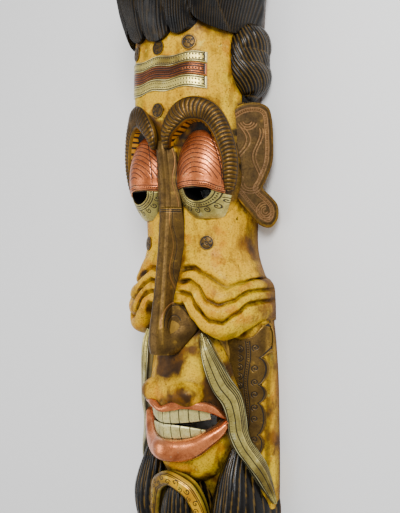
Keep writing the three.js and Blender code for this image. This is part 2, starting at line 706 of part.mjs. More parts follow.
// Front of the muzzle at a distance from the middle
function muzzleZ(x, y) {
  const [, half, wall, front, square] = readRows(MUZZLE_ROWS, y);
  return wall + (front - wall) * (1 - clamp01(Math.abs(x) / half) ** square) ** (1 / square);
}
function mouthBar(line, lift, high, count, grow = 0) {
  const right = line.map(([x, y, w]) => [x, y, muzzleZ(x, y) + lift, w]);
  const left = [...right.slice(1)].reverse().map(([x, y, z, w]) => [-x, y, z, w]);
  return pathBar([...left, ...right], count, high, 9, 0.62, grow);
}
const upperLip = (grow) => mouthBar(UPPER_LIP, -1, 8, 10, grow);
const lowerLip = (grow) => mouthBar(LOWER_LIP, -1, 13, 10, grow);
const shrunkMouth = mouthOutline.map(([x, y]) => [x * 0.985, TOOTH_LINE + (y - TOOTH_LINE) * 0.96]);
const aroundMouth = muzzleSolid(GAP).add(both(lipBulge(GAP)))
  .subtract(prism(shrunkMouth, MOUTH_FOOT_Z + 0.5, REACH));
node('lip_upper', symmetric(upperLip(0).subtract(aroundMouth).subtract(moustacheRoom)), ...COPPER);
const lowerBody = lowerLip(0).subtract(aroundMouth).subtract(upperLip(GAP)).subtract(moustacheRoom);
node('lip_lower', symmetric(lowerBody), ...COPPER);

// Tooth strip just inside the lips: upper and lower edge at the middle and at the outer end
function teeth(top, low, topOut, lowOut, half) {
  const line = steps(0, 1, 3).map((t) => {
    const a = THREE.MathUtils.lerp(top, topOut, t * t);
    const b = THREE.MathUtils.lerp(low, lowOut, t * t);
    return [half * t, (a + b) / 2, (a - b) / 2];
  });
  return mouthBar(line, -5, 4, 6);
}
const mouthRoom = aroundMouth.add(upperLip(GAP)).add(lowerLip(GAP));
const upperTeeth = teeth(TEETH_TOP, TOOTH_LINE, TEETH_TOP + 1, TOOTH_LINE + 6, UPPER_TEETH_HALF);
const lowerTeeth = teeth(TOOTH_LINE - 2 * GAP, TEETH_LOW, TOOTH_LINE - 8, TEETH_LOW + 4, LOWER_TEETH_HALF);
node('teeth_upper', symmetric(upperTeeth.subtract(mouthRoom)), ...BONE);
node('teeth_lower', symmetric(lowerTeeth.subtract(mouthRoom)), ...BONE);

const chinHalf = pathBar(CHIN_PATH, 7, 9, 12);
node('chin_sheet', symmetric(chinHalf.subtract(around).subtract(lowerLip(GAP))), ...BRASS);

function toGeometry(solid) {
  const mesh = solid.getMesh();
  const geometry = new THREE.BufferGeometry();
  const positions = new Float32Array(mesh.numVert * 3);
  for (let i = 0; i < mesh.numVert; i += 1) {
    positions.set(mesh.vertProperties.subarray(i * mesh.numProp, i * mesh.numProp + 3), i * 3);
  }
  geometry.setAttribute('position', new THREE.BufferAttribute(positions, 3));
  geometry.setIndex(new THREE.BufferAttribute(new Uint32Array(mesh.triVerts), 1));
  geometry.computeVertexNormals();
  return geometry;
}

const group = new THREE.Group();
group.name = 'wooden_mask';
nodes.forEach(({ name, solid, color, metal, rough }) => {
  const material = new THREE.MeshStandardMaterial({ color, metalness: metal, roughness: rough });
  const mesh = new THREE.Mesh(toGeometry(solid), material);
  mesh.name = name;
  group.add(mesh);
});

export default group;
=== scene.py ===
import bmesh
import bpy
import math
import numpy as np
from mathutils import Matrix, Vector, kdtree
from mathutils.bvhtree import BVHTree


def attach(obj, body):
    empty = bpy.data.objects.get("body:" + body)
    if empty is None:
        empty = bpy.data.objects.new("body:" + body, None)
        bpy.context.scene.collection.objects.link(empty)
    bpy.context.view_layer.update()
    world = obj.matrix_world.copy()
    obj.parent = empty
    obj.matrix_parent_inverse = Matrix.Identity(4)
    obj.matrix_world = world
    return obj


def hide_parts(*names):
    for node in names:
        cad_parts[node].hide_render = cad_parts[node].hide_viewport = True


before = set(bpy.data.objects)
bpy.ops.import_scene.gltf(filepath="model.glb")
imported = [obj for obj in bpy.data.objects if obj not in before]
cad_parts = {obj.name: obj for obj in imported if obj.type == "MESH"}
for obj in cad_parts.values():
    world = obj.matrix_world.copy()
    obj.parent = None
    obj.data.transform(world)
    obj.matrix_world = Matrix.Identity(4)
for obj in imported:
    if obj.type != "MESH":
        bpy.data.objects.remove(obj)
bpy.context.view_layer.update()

# Sizes in millimetres: +Y up the head, +Z out of the face, +X to the mask's own left
# Section rows: height, rim half-width, widest half-width, wall height, front height, squareness
FACE_ROWS = [
    (310, 78, 80, 14, 119, 3.0), (190, 78, 80, 12, 121, 3.0), (160, 78, 82, 16, 112, 2.9),
    (110, 77, 82, 24, 100, 2.8), (60, 75, 78, 28, 94, 2.8), (15, 75, 78, 28, 92, 2.8),
    (-15, 86, 88, 24, 96, 2.8), (-40, 100, 101, 20, 102, 2.9), (-65, 103, 105, 18, 107, 3.0),
    (-115, 104, 105, 18, 100, 2.8)]
# The stations of the face bend from the cheek down to the jowl edge
CHEEK_START = 28
GROOVE_STEPS = (-24, -50, -72)
JOWL_STEP = -113
JOWL_EDGE = [(0, -66), (30, -66), (40, -90), (55, -104), (72, -110), (87, -105), (100, -92), (106, -84)]
GROOVES = [
    [(20, -18), (30, -16), (42, -15), (55, -24), (77, -40), (88, -35), (96, -26)],
    [(20, -34), (28, -33), (38, -31), (52, -39), (63, -56), (77, -62), (91, -57), (100, -46), (106, -43)],
    [(20, -47), (28, -47), (42, -50), (52, -66), (67, -82), (82, -85), (95, -73), (102, -61), (108, -57)]]
GROOVE_DEPTH, GROOVE_HALF, ROLL_RISE = 5.0, 4.2, 2.5
SLAB_ROWS = [
    (-50, 96, 100, 14, 50, 2.4), (-120, 105, 106, 14, 52, 2.4), (-190, 109, 110, 14, 52, 2.4),
    (-345, 109, 110, 14, 50, 2.4), (-390, 100, 101, 14, 46, 2.4), (-418, 82, 83, 18, 38, 2.4),
    (-428, 66, 66, 12, 28, 2.2)]
MUZZLE_ROWS = [
    (-70, 52, 54, 34, 96, 1.9), (-120, 58, 60, 36, 102, 1.9), (-150, 64, 66, 36, 107, 1.8),
    (-180, 70, 72, 36, 113, 1.6), (-205, 72, 74, 34, 114, 1.5), (-240, 72, 73, 32, 111, 1.4),
    (-268, 62, 64, 30, 101, 1.5), (-292, 48, 50, 26, 88, 1.7), (-306, 28, 30, 18, 70, 1.9)]
HAIR_ROWS = [
    (196, 72, 76, 16, 92, 2.8), (212, 80, 86, 18, 112, 2.8), (262, 84, 88, 18, 121, 2.8),
    (286, 84, 88, 18, 126, 2.8), (304, 85, 92, 18, 135, 2.8), (336, 87, 99, 20, 145, 2.8),
    (380, 90, 103, 20, 150, 2.8), (412, 84, 94, 18, 141, 2.6), (428, 66, 74, 14, 116, 2.4),
    (440, 40, 46, 10, 80, 2.2)]
HAIRLINE_Z = 44
# Fringe lobes: from, to, height of the notches at both ends, lowest height
FRINGE = [(-84, -57, 292, 308, 293), (-57, -22.5, 308, 298, 286), (-22.5, 22.5, 298, 298, 281),
          (22.5, 57, 298, 308, 286), (57, 84, 308, 292, 293)]
# Bulges of a side lock: X, Y, Z and three radii
LOCKS = [(77, 285, 27, 28, 26, 31), (77, 238, 27, 29, 28, 31), (78, 262, 32, 24, 56, 34)]
# Eyeball and socket: X, Y, Z and three radii; eye hole: X, Y, half-width, depth
EYE = (44, 108, 64, 42, 68, 47)
SOCKET = (50, 132, 112, 35, 54, 25)
EYE_HOLE = (52, 88, 19, 16)
LID_EDGE = [(10, 90), (22, 88), (34, 89.5), (50, 90), (66, 88), (78, 82), (87, 77)]
# Nose rows: height, ridge Z, half-width at the foot, Z of the foot, ridge half-width
NOSE_ROWS = [
    (152, 116, 13, 106, 5), (139, 117, 16, 104, 6), (76, 111, 19, 98, 7), (8, 115, 21, 86, 7),
    (-45, 121, 25, 82, 8), (-66, 124, 32, 82, 8.5), (-80, 126, 38, 82, 9), (-96, 128, 36, 86, 10),
    (-114, 128, 25, 96, 11), (-128, 126, 15, 106, 10)]
NOSE_SEAM = 64
BAND_HALF = 64
BAND_EDGES = (261, 247, 231, 215)
DISC_RADIUS = 9.5
# Paths of the bars: X, Y, Z, half-width
BROW_PATH = [
    (11, 142, 113, 4), (14, 160, 117, 9.5), (26, 177, 116, 13.5), (39, 188, 112, 15.5), (54, 189, 106, 15.5),
    (67, 183, 97, 14.5), (78, 167, 91, 13), (85, 145, 86, 12), (88, 124, 82, 11.5), (86, 103, 79, 10.5),
    (82, 86, 76, 8)]
MOUSTACHE_PATH = [
    (47, -100, 87, 3), (54, -121, 86, 8), (61, -144, 81, 12), (69, -167, 73, 14), (78, -186, 64, 14),
    (82, -209, 59, 12.5), (82, -229, 55, 12.5), (87, -247, 50, 12), (95, -262, 43, 11.5), (104, -279, 36, 11),
    (110, -299, 29, 8), (114, -324, 18, 2.5)]
CHIN_PATH = [
    (0, -296, 97, 10.5), (12, -298, 96, 10.5), (23, -305, 92, 10.5), (32, -317, 87, 10), (38, -333, 82, 9),
    (42, -350, 78, 7), (43, -364, 74, 3)]
EAR_ROOT = (67, 66)
EAR_TURN = math.radians(44)
# Lips: X, Y, half-width; mouth: X, Y of its upper and lower edge
UPPER_LIP = [(0, -200, 4.5), (14, -196, 6), (27, -192, 7.2), (42, -194, 6.8), (54, -199, 6.4), (64, -211, 4)]
LOWER_LIP = [(0, -255, 15.5), (18, -255, 15.5), (34, -250, 14), (47, -240, 11.5), (58, -229, 9),
             (65, -217, 5)]
MOUTH_TOP = [(0, -201), (27, -194), (42, -196), (54, -202), (61, -212)]
MOUTH_LOW = [(54, -226), (42, -237), (27, -243), (0, -244)]
TOOTH_LINE = -219.5
# Clearance below every sheet, and how much coarser its underside is
GAP = 0.3
UNDER_STEP = 8


def smooth(t):
    t = np.clip(t, 0, 1)
    return t * t * (3 - 2 * t)


def above(value, start, ease):
    """0 below the start, rising to 1 over the ease."""
    return smooth((value - start) / ease)


def below(value, end, ease):
    """1 well below the end, falling to 0 over the ease."""
    return smooth((end - value) / ease)


def line(points, x):
    """Broken line through points, eased a little between them."""
    pts = np.array(sorted(points), float)
    x = np.asarray(x, float)
    i = np.clip(np.searchsorted(pts[:, 0], x, side="right") - 1, 0, len(pts) - 2)
    t = np.clip((x - pts[i, 0]) / (pts[i + 1, 0] - pts[i, 0]), 0, 1)
    t = smooth(t) * 0.5 + t * 0.5
    return pts[i, 1] + (pts[i + 1, 1] - pts[i, 1]) * t


def rows_at(rows, at):
    """Smooth curve through the rows, read by their first column."""
    tab = np.array(sorted(rows), float)
    at = np.clip(np.asarray(at, float), tab[0, 0], tab[-1, 0])
    last = len(tab) - 1
    i = np.clip(np.searchsorted(tab[:, 0], at, side="right") - 1, 0, last - 1)
    a, b = tab[i], tab[i + 1]
    before, after = tab[np.maximum(i - 1, 0)], tab[np.minimum(i + 2, last)]
    span = (b[..., :1] - a[..., :1])
    t = ((at - a[..., 0]) / span[..., 0])[..., None]
    sa = (b[..., 1:] - before[..., 1:]) / (b[..., :1] - before[..., :1])
    sb = (after[..., 1:] - a[..., 1:]) / (after[..., :1] - a[..., :1])
    t2, t3 = t * t, t * t * t
    return (a[..., 1:] * (2 * t3 - 3 * t2 + 1) + b[..., 1:] * (3 * t2 - 2 * t3)
            + span * (sa * (t3 - 2 * t2 + t) + sb * (t3 - t2)))


def section(rows, y, turn):
    """Points of the front section; turn runs from -1 at one side over the middle to 1 at the other."""
    r = rows_at(rows, y)
    half, wall, front, square = r[..., 1], r[..., 2], r[..., 3], r[..., 4]
    a = turn * math.pi / 2
    side = np.abs(np.sin(a)) ** (2 / square)
    out = np.abs(np.cos(a)) ** (2 / square)
    return np.stack([np.sign(turn) * half * side, y + 0 * half, wall + (front - wall) * out], -1)


def section_z(rows, x, y):
    """Height of the front section above a place."""
    r = rows_at(rows, y)
    part = np.clip(1 - np.clip(np.abs(x) / r[..., 1], 0, 1) ** r[..., 4], 0, 1) ** (1 / r[..., 4])
    return r[..., 2] + (r[..., 3] - r[..., 2]) * part


def face_height(station, x):
    """Height at which a station of the face lies, bent along the grooves and the jowl edge."""
    knots = [(CHEEK_START, np.full_like(x, CHEEK_START))]
    knots += [(s, line(g, x)) for s, g in zip(GROOVE_STEPS, GROOVES)]
    knots += [(JOWL_STEP, line(JOWL_EDGE, x))]
    y = np.array(station, float) + 0 * x
    for (a, ya), (b, yb) in zip(knots, knots[1:]):
        inside = (station < a) & (station >= b - 1e-6)
        y = np.where(inside, ya + (yb - ya) * (station - a) / (b - a), y)
    return y


def face_points(station, turn):
    """Front of the face with its cheek grooves and rolled jowls."""
    x = np.abs(section(FACE_ROWS, np.maximum(station, -100), turn)[..., 0])
    y = face_height(station, x)
    p = section(FACE_ROWS, y, turn)
    p[..., 1] = y
    near = np.clip((JOWL_STEP + 18 - station) / 18, 0, 1) ** 3
    groove = np.max([np.exp(-((station - s) / GROOVE_HALF) ** 2) for s in GROOVE_STEPS], axis=0)
    marks = (CHEEK_START - 26, *GROOVE_STEPS, JOWL_STEP + 6)
    roll = np.zeros_like(station)
    for a, b in zip(marks, marks[1:]):
        roll = np.where((station < a) & (station >= b), np.sin(np.pi * (a - station) / (a - b)), roll)
    fade = smooth((np.abs(p[..., 0]) - 16) / 10)
    dip = fade * (GROOVE_DEPTH * groove - ROLL_RISE * roll) * (1 - near ** (1 / 3))
    p[..., 2] *= 1 - 0.24 * near
    p[..., 0] *= 1 - 0.04 * near
    level = np.hypot(p[..., 0], p[..., 2])
    p[..., 0] -= dip * p[..., 0] / level
    p[..., 2] -= dip * p[..., 2] / level
    return p


# Mesh building
def make_object(name, verts, faces):
    """Mesh object from vertices in mm, shaded smooth."""
    mesh = bpy.data.meshes.new(name)
    mesh.from_pydata((np.asarray(verts, float) / 1000).tolist(), [], faces)
    mesh.update()
    mesh.polygons.foreach_set("use_smooth", np.ones(len(mesh.polygons), bool))
    o = bpy.data.objects.new(name, mesh)
    bpy.context.scene.collection.objects.link(o)
    return o


def grid_faces(r, c, base=0, wrap=False, flip=False):
    """Four-sided faces of a grid of r rows and c columns."""
    i, j = np.meshgrid(np.arange(r - 1), np.arange(c if wrap else c - 1), indexing="ij")
    k = (j + 1) % c
    q = np.stack([i * c + j, i * c + k, (i + 1) * c + k, (i + 1) * c + j], -1).reshape(-1, 4) + base
    return (q[:, ::-1] if flip else q).tolist()


def ring_object(name, rings):
    """Closed solid from rings (rows, columns, 3)."""
    r, c = rings.shape[:2]
    faces = grid_faces(r, c, wrap=True)
    faces.append(list(range(c))[::-1])
    faces.append([(r - 1) * c + j for j in range(c)])
    o = make_object(name, rings.reshape(-1, 3), faces)
    fix_normals(o)
    return o


def fix_normals(o):
    bm = bmesh.new()
    bm.from_mesh(o.data)
    bmesh.ops.recalc_face_normals(bm, faces=bm.faces)
    bm.to_mesh(o.data)
    bm.free()


def normals_of(grid):
    """Unit normals of a grid, turned out of the face."""
    du = np.gradient(grid, axis=0)
    dv = np.gradient(grid, axis=1)
    n = np.cross(dv, du)
    n /= np.maximum(np.linalg.norm(n, axis=-1, keepdims=True), 1e-9)
    if np.mean(n[..., 2]) < 0:
        n = -n
    return n


def coarse(count):
    """Rows or columns that the plain underside of a sheet keeps."""
    return sorted(set(range(0, count - 1, UNDER_STEP)) | {count - 1})


def closed_sheet(name, front, under):
    """Fine front grid closed by a plain, coarser underside of the same shape."""
    r, c = front.shape[:2]
    rows, columns = coarse(r), coarse(c)
    br, bc, base = len(rows), len(columns), r * c
    verts = np.concatenate([front.reshape(-1, 3), under[np.ix_(rows, columns)].reshape(-1, 3)])
    faces = grid_faces(r, c) + grid_faces(br, bc, base=base, flip=True)
    for row, back_row in ((0, 0), (r - 1, br - 1)):
        for k in range(bc - 1):
            edge = [row * c + j for j in range(columns[k], columns[k + 1] + 1)]
            faces.append(edge + [base + back_row * bc + k + 1, base + back_row * bc + k])
    for column, back_column in ((0, 0), (c - 1, bc - 1)):
        for k in range(br - 1):
            edge = [i * c + column for i in range(rows[k], rows[k + 1] + 1)]
            faces.append(edge + [base + (k + 1) * bc + back_column, base + k * bc + back_column])
    o = make_object(name, verts, faces)
    fix_normals(o)
    return o


def sheet_object(name, grid, thick, lift=0.0, relief=None):
    """Sheet with the outer side on the grid raised by lift plus relief, and thick deep."""
    n = normals_of(grid)
    relief = 0 if relief is None else relief[..., None]
    top = grid + n * (lift + relief)
    r, c = grid.shape[:2]
    # The rim is drawn in a little
    edge = np.ones((r, c), bool)
    edge[1:-1, 1:-1] = False
    top -= n * np.where(edge, min(0.5, thick * 0.4), 0.0)[..., None]
    return closed_sheet(name, top, grid + n * (lift - thick))


def set_attribute(o, name, values):
    a = o.data.attributes.new(name, "FLOAT", "POINT")
    a.data.foreach_set("value", np.asarray(values, np.float32))


def mirror_object(o, name):
    """Copy of an object on the other side of the middle."""
    m = o.data.copy()
    m.name = name
    co = np.empty(len(m.vertices) * 3)
    m.vertices.foreach_get("co", co)
    co = co.reshape(-1, 3)
    co[:, 0] *= -1
    m.vertices.foreach_set("co", co.ravel())
    m.flip_normals()
    m.update()
    new = bpy.data.objects.new(name, m)
    bpy.context.scene.collection.objects.link(new)
    return new


def boolean(o, other, kind, keep=False):
    """Joins, cuts or intersects with another closed object, which goes unless it is kept."""
    mod = o.modifiers.new("cut", "BOOLEAN")
    mod.operation = kind
    mod.solver = "MANIFOLD"
    mod.object = other
    deps = bpy.context.evaluated_depsgraph_get()
    done = bpy.data.meshes.new_from_object(o.evaluated_get(deps))
    old = o.data
    o.modifiers.clear()
    o.data = done
    bpy.data.meshes.remove(old)
    if not keep:
        bpy.data.objects.remove(other)
    return o


def coords(o):
    """Vertices in mm."""
    co = np.empty(len(o.data.vertices) * 3)
    o.data.vertices.foreach_get("co", co)
    return co.reshape(-1, 3) * 1000


def set_coords(o, co):
    o.data.vertices.foreach_set("co", (np.asarray(co) / 1000).ravel())
    o.data.update()


def vertex_normals(o):
    n = np.empty(len(o.data.vertices) * 3)
    o.data.vertex_normals.foreach_get("vector", n)
    return n.reshape(-1, 3)


def joined_pairs(o):
    """Vertex pairs of all edges, and how many of them each vertex has."""
    pairs = np.empty(len(o.data.edges) * 2, int)
    o.data.edges.foreach_get("vertices", pairs)
    count = np.bincount(pairs, minlength=len(o.data.vertices)).clip(1)[:, None]
    return pairs.reshape(-1, 2), count


def neighbour_mean(points, pairs, count):
    """Mean place of the vertices that are joined to each vertex."""
    a, b = pairs[:, 0], pairs[:, 1]
    size = len(points)
    total = [np.bincount(a, points[b, k], size) + np.bincount(b, points[a, k], size) for k in range(3)]
    return np.stack(total, -1) / count


def hollows(o, rounds=3):
    """How deep each vertex lies below its neighbours, in mm, averaged over a few rounds."""
    co, n = coords(o), vertex_normals(o)
    pairs, count = joined_pairs(o)
    mean = co.copy()
    for _ in range(rounds):
        mean = neighbour_mean(mean, pairs, count)
    return np.einsum("ij,ij->i", mean - co, n)


# Engraving: lines and dots on flat positions
def nearest_line(p, lines):
    """Distance from each point (n, 2) to a set of broken lines."""
    best = np.full(len(p), 1e9)
    for pts in lines:
        pts = np.asarray(pts, float)
        a, b = pts[:-1], pts[1:]
        low, high = pts.min(0) - 3, pts.max(0) + 3
        near = np.where(((p >= low) & (p <= high)).all(1))[0]
        if not len(near):
            continue
        q = p[near]
        d = b - a
        size = np.maximum((d * d).sum(1), 1e-9)
        t = np.clip(((q[:, None] - a) * d).sum(-1) / size, 0, 1)
        dist = np.sqrt((((q[:, None] - a) - t[..., None] * d) ** 2).sum(-1).min(1))
        best[near] = np.minimum(best[near], dist)
    return best


def nearest_dot(p, dots):
    """Distance from each point to the nearest dot."""
    tree = kdtree.KDTree(len(dots))
    for i, d in enumerate(dots):
        tree.insert((d[0], d[1], 0), i)
    tree.balance()
    return np.array([tree.find((x, y, 0))[2] for x, y in p])


def marks(shape, p, lines=(), half=0.8, dots=(), radius=1.1):
    """Engraved mask on a grid of flat positions: 1 in a line or dot, 0 outside."""
    flat = p.reshape(-1, 2)
    m = np.zeros(len(flat))
    if len(lines):
        m = np.maximum(m, smooth(1.35 - nearest_line(flat, lines) / half))
    if len(dots):
        m = np.maximum(m, smooth(1.35 - nearest_dot(flat, dots) / radius))
    return m.reshape(shape)


def arc(cx, cy, rx, ry, a0, a1, n=24):
    """Part of an ellipse between two angles in degrees."""
    a = np.radians(np.linspace(a0, a1, n))
    return np.stack([cx + rx * np.cos(a), cy + ry * np.sin(a)], -1)


def spiral(cx, cy, r, turns, start=0.0, n=40):
    """Curl that winds out to a radius."""
    t = np.linspace(0.08, 1, n)
    a = start + t * turns * 2 * math.pi
    return np.stack([cx + r * t * np.cos(a), cy + r * t * np.sin(a)], -1)


def dotted(points, gap):
    """Dots at equal spacing along a broken line."""
    pts = np.asarray(points, float)
    s = np.concatenate([[0], np.cumsum(np.linalg.norm(np.diff(pts, axis=0), axis=1))])
    at = np.arange(gap / 2, s[-1], gap)
    return np.stack([np.interp(at, s, pts[:, k]) for k in (0, 1)], -1)


def cubic(before, a, b, after, f):
    """Smooth curve from a to b at the fraction f."""
    return 0.5 * (2 * a + (b - before) * f + (2 * before - 5 * a + 4 * b - after) * f ** 2
                  + (3 * a - before - 3 * b + after) * f ** 3)


def spread(points, count):
    """Even points on a smooth curve through control rows of any width."""
    pts = np.asarray(points, float)
    n = len(pts)
    t = np.linspace(0, n - 1, count)
    i = np.clip(t.astype(int), 0, n - 2)
    a, b = pts[i], pts[i + 1]
    before = np.where((i > 0)[:, None], pts[np.maximum(i - 1, 0)], 2 * a - b)
    after = np.where((i < n - 2)[:, None], pts[np.minimum(i + 2, n - 1)], 2 * b - a)
    return cubic(before, a, b, after, (t - i)[:, None])


def closed(points):
    return np.concatenate([points, points[:1]])


def round_closed(points, per=8):
    """Closed smooth curve through points."""
    pts = np.asarray(points, float)
    n = len(pts)
    t = np.arange(n * per) / per
    i = t.astype(int)
    return cubic(*[pts[(i + k) % n] for k in (-1, 0, 1, 2)], (t - i)[:, None])


def inset(points, amount):
    """Outline drawn in by an amount, with its corners kept."""
    pts = np.asarray(points, float)
    a, b = np.roll(pts, 1, 0), np.roll(pts, -1, 0)
    area = np.sum(pts[:, 0] * b[:, 1] - pts[:, 1] * b[:, 0])
    d1 = (pts - a) / np.linalg.norm(pts - a, axis=1)[:, None]
    d2 = (b - pts) / np.linalg.norm(b - pts, axis=1)[:, None]
    n1 = np.stack([-d1[:, 1], d1[:, 0]], -1)
    m = n1 + np.stack([-d2[:, 1], d2[:, 0]], -1)
    m /= np.linalg.norm(m, axis=1)[:, None]
    k = np.sign(area) * amount / np.maximum(0.5, (m * n1).sum(1))
    return pts + m * k[:, None]


def prism_object(outline, low, high):
    """Prism through an outline between two Z heights."""
    pts = np.asarray(outline, float)
    keep = np.linalg.norm(pts - np.roll(pts, -1, 0), axis=1) > 0.01
    pts = pts[keep]
    rings = np.stack([np.column_stack([pts, np.full(len(pts), z)]) for z in (low, high)])
    return ring_object("prism", rings)


def ball(centre, radii, around=48, up=32):
    """Ellipsoid with its poles along Y."""
    lat = np.linspace(-math.pi / 2 + 0.03, math.pi / 2 - 0.03, up)[:, None]
    lon = np.linspace(0, 2 * math.pi, around, endpoint=False)[None]
    x = centre[0] + radii[0] * np.cos(lat) * np.cos(lon)
    y = centre[1] + radii[1] * np.sin(lat) * (1 + 0 * lon)
    z = centre[2] + radii[2] * np.cos(lat) * np.sin(lon)
    return ring_object("ball", np.stack([x, y, z], -1))


def both_balls(centre, radii, around=48, up=32):
    """The same ball on both sides of the middle."""
    left = ball(centre, radii, around, up)
    right = ball((-centre[0], centre[1], centre[2]), radii, around, up)
    return left, right


def body_rings(arc_points, rim, floor):
    """Rings of a D-shaped loft: each front arc closed by its rim points."""
    first, last = arc_points[:, 0].copy(), arc_points[:, -1].copy()
    first[:, 0], first[:, 2] = -rim, floor
    last[:, 0], last[:, 2] = rim, floor
    return np.concatenate([first[:, None], arc_points, last[:, None]], axis=1)


def row_loft(name, rows, step, columns, floor=0.0, relief=None):
    """Closed loft through section rows, with an optional relief cut into its front."""
    top, low = max(r[0] for r in rows), min(r[0] for r in rows)
    y = np.linspace(top, low, max(4, int((top - low) / step)))[:, None] + np.zeros(columns)[None]
    turn = np.linspace(-1, 1, columns)[None] + 0 * y
    p = section(rows, y, turn)
    if relief is not None:
        p = p - normals_of(p) * relief(p, turn)[..., None]
    return ring_object(name, body_rings(p, rows_at(rows, y[:, 0])[:, 0], floor))


# Carved wood
station = np.linspace(310, -113, 260)[:, None] + np.zeros(110)[None]
turn = np.linspace(-1, 1, 110)[None] + 0 * station
face = face_points(station, turn)


def bare_face(name):
    """Face with its sockets and eyeballs, before other forms are joined to it."""
    o = ring_object(name, body_rings(face, rows_at(FACE_ROWS, station[:, 0])[:, 0], 0.0))
    for part in both_balls(SOCKET[:3], SOCKET[3:]):
        boolean(o, part, "DIFFERENCE")
    for part in both_balls(EYE[:3], EYE[3:], 64, 48):
        boolean(o, part, "UNION")
    return o


wood = bare_face("mask_wood")
boolean(wood, row_loft("slab", SLAB_ROWS, step=4.0, columns=60), "UNION")
boolean(wood, row_loft("muzzle", MUZZLE_ROWS, step=2.7, columns=80), "UNION")
BULGE = ((24, -181, 91.5), (26.5, 19, 25))
for o in both_balls(*BULGE, 60, 40):
    boolean(wood, o, "UNION")


def nose_profile(y, grow, foot_z=None, count=25):
    """Right-to-left profile of the nose at a height, from foot over the ridge to the other foot."""
    ridge, foot, foot_level, crest = rows_at(NOSE_ROWS, y)
    top, wide, high = ridge + grow, foot + grow, foot_level + grow
    c = crest + grow * 0.6
    start = 30 if foot_z is None else foot_z
    knots = np.array([
        (wide, min(start, high - 6)), (wide, high - 4), (wide - 0.6, high),
        (c * 1.45, high + (top - high) * 0.62), (c * 1.1, top - 4.2), (c * 0.75, top - 1.4),
        (c * 0.4, top - 0.2), (0, top)])
    seg = np.concatenate([[0], np.cumsum(np.linalg.norm(np.diff(knots, axis=0), axis=1))])
    at = np.linspace(0, seg[-1], count)
    half = np.stack([np.interp(at, seg, knots[:, k]) for k in (0, 1)], -1)
    return np.concatenate([half, half[-2::-1] * [-1, 1]])


def nose_ring(y, grow=0.0, foot_z=None, count=25):
    p = nose_profile(y, grow, foot_z, count)
    return np.column_stack([p[:, 0], np.full(len(p), y), p[:, 1]])


NOSE_TOP, NOSE_LOW = NOSE_ROWS[0][0], NOSE_ROWS[-1][0]
core = np.stack([nose_ring(y) for y in np.linspace(NOSE_TOP, NOSE_LOW, 70)])
boolean(wood, ring_object("nose_core", core), "UNION")


def ear_place(u, y, lift, side=1):
    """Point of the turned ear: u outwards from its root, lift off its front."""
    c, s = math.cos(EAR_TURN), math.sin(EAR_TURN)
    x = EAR_ROOT[0] + u * c + lift * s
    return np.stack([side * x, y + 0 * u, EAR_ROOT[1] - u * s + lift * c], -1)


EAR_OUTLINE = [
    (-6, 186), (2, 186), (20, 198), (40, 202), (57, 197), (63, 182), (65, 152), (64, 124), (55, 99), (51, 90),
    (62, 79), (71, 67), (71, 50), (61, 38), (46, 43), (29, 62), (10, 84), (-6, 96)]
# Wooden ear from back to front: lift, inset
EAR_LAYERS = ((-10, 1.2), (-9, 0.3), (-5, 0), (-1, 0), (-0.3, 0.5), (0, 1.1))
for side in (1, -1):
    rings = []
    for lift, shrink in EAR_LAYERS:
        e = round_closed(inset(EAR_OUTLINE, shrink), 6)
        rings.append(ear_place(e[:, 0], e[:, 1], lift, side))
    boolean(wood, ring_object("ear", np.stack(rings)), "UNION")

# Hollow back: section rows as above
HOLLOW_ROWS = [
    (258, 58, 58, 26, 62, 3), (240, 64, 65, 34, 96, 3), (190, 64, 66, 34, 102, 3), (110, 62, 67, 40, 80, 3),
    (50, 60, 63, 40, 74, 3), (-40, 78, 74, 36, 80, 3), (-84, 84, 53, 48, 76, 3), (-150, 88, 51, 50, 76, 3),
    (-210, 90, 51, 50, 78, 3), (-250, 90, 50, 48, 74, 3), (-290, 80, 40, 16, 40, 2.4)]


def chisel(p, turn):
    """Shallow gouge marks of the hollowed back."""
    x, y = p[..., 0], p[..., 1]
    return 0.7 * np.sin(y / 4.1 + 2.2 * np.sin(x / 19)) * np.cos(x / 5.3 + y / 31)


hollow = row_loft("hollow", HOLLOW_ROWS, step=3.6, columns=70, floor=-1.0, relief=chisel)
boolean(wood, hollow, "DIFFERENCE", keep=True)
# Half-moon eye holes and the open mouth
ex, ey, eh, ed = EYE_HOLE
a = np.linspace(math.pi, 0, 24)
half_moon = np.stack([ex + eh * np.cos(a), ey - ed * np.sin(a)], -1)
for side in (1, -1):
    boolean(wood, prism_object(half_moon * [side, 1], 40, 160), "DIFFERENCE")
mouth = MOUTH_TOP + MOUTH_LOW
mouth += [(-x, y) for x, y in MOUTH_LOW[:-1][::-1]]
mouth += [(-x, y) for x, y in MOUTH_TOP[1:][::-1]]
boolean(wood, prism_object(mouth, 60, 160), "DIFFERENCE")

def tree_of(objects):
    """Tree for ray casts on several objects at once."""
    points, faces, count = [], [], 0
    for o in objects:
        co = coords(o)
        o.data.calc_loop_triangles()
        tri = np.empty(len(o.data.loop_triangles) * 3, int)
        o.data.loop_triangles.foreach_get("vertices", tri)
        points += co.tolist()
        faces += (tri.reshape(-1, 3) + count).tolist()
        count += len(co)
    return BVHTree.FromPolygons(points, faces)


def soften(o, where, rounds):
    """Eases the seams between joined forms where the mask holds."""
    co = coords(o)
    pairs, count = joined_pairs(o)
    weight = where(co)[:, None]
    for _ in range(rounds):
        co = co + (neighbour_mean(co, pairs, count) - co) * weight * 0.7
    set_coords(o, co)


def muzzle_seams(p):
    """1 along the seams of the muzzle, 0 elsewhere."""
    x, y, z = np.abs(p[:, 0]), p[:, 1], p[:, 2]
    upper = below(y, -128, 6) * above(y, -196, 5) * below(x, 66, 6)
    side = below(y, -110, 6) * above(y, -280, 10) * above(x, 58, 6) * below(x, 86, 6) * (y < -112)
    return np.maximum(upper, side) * above(z, 40, 10)


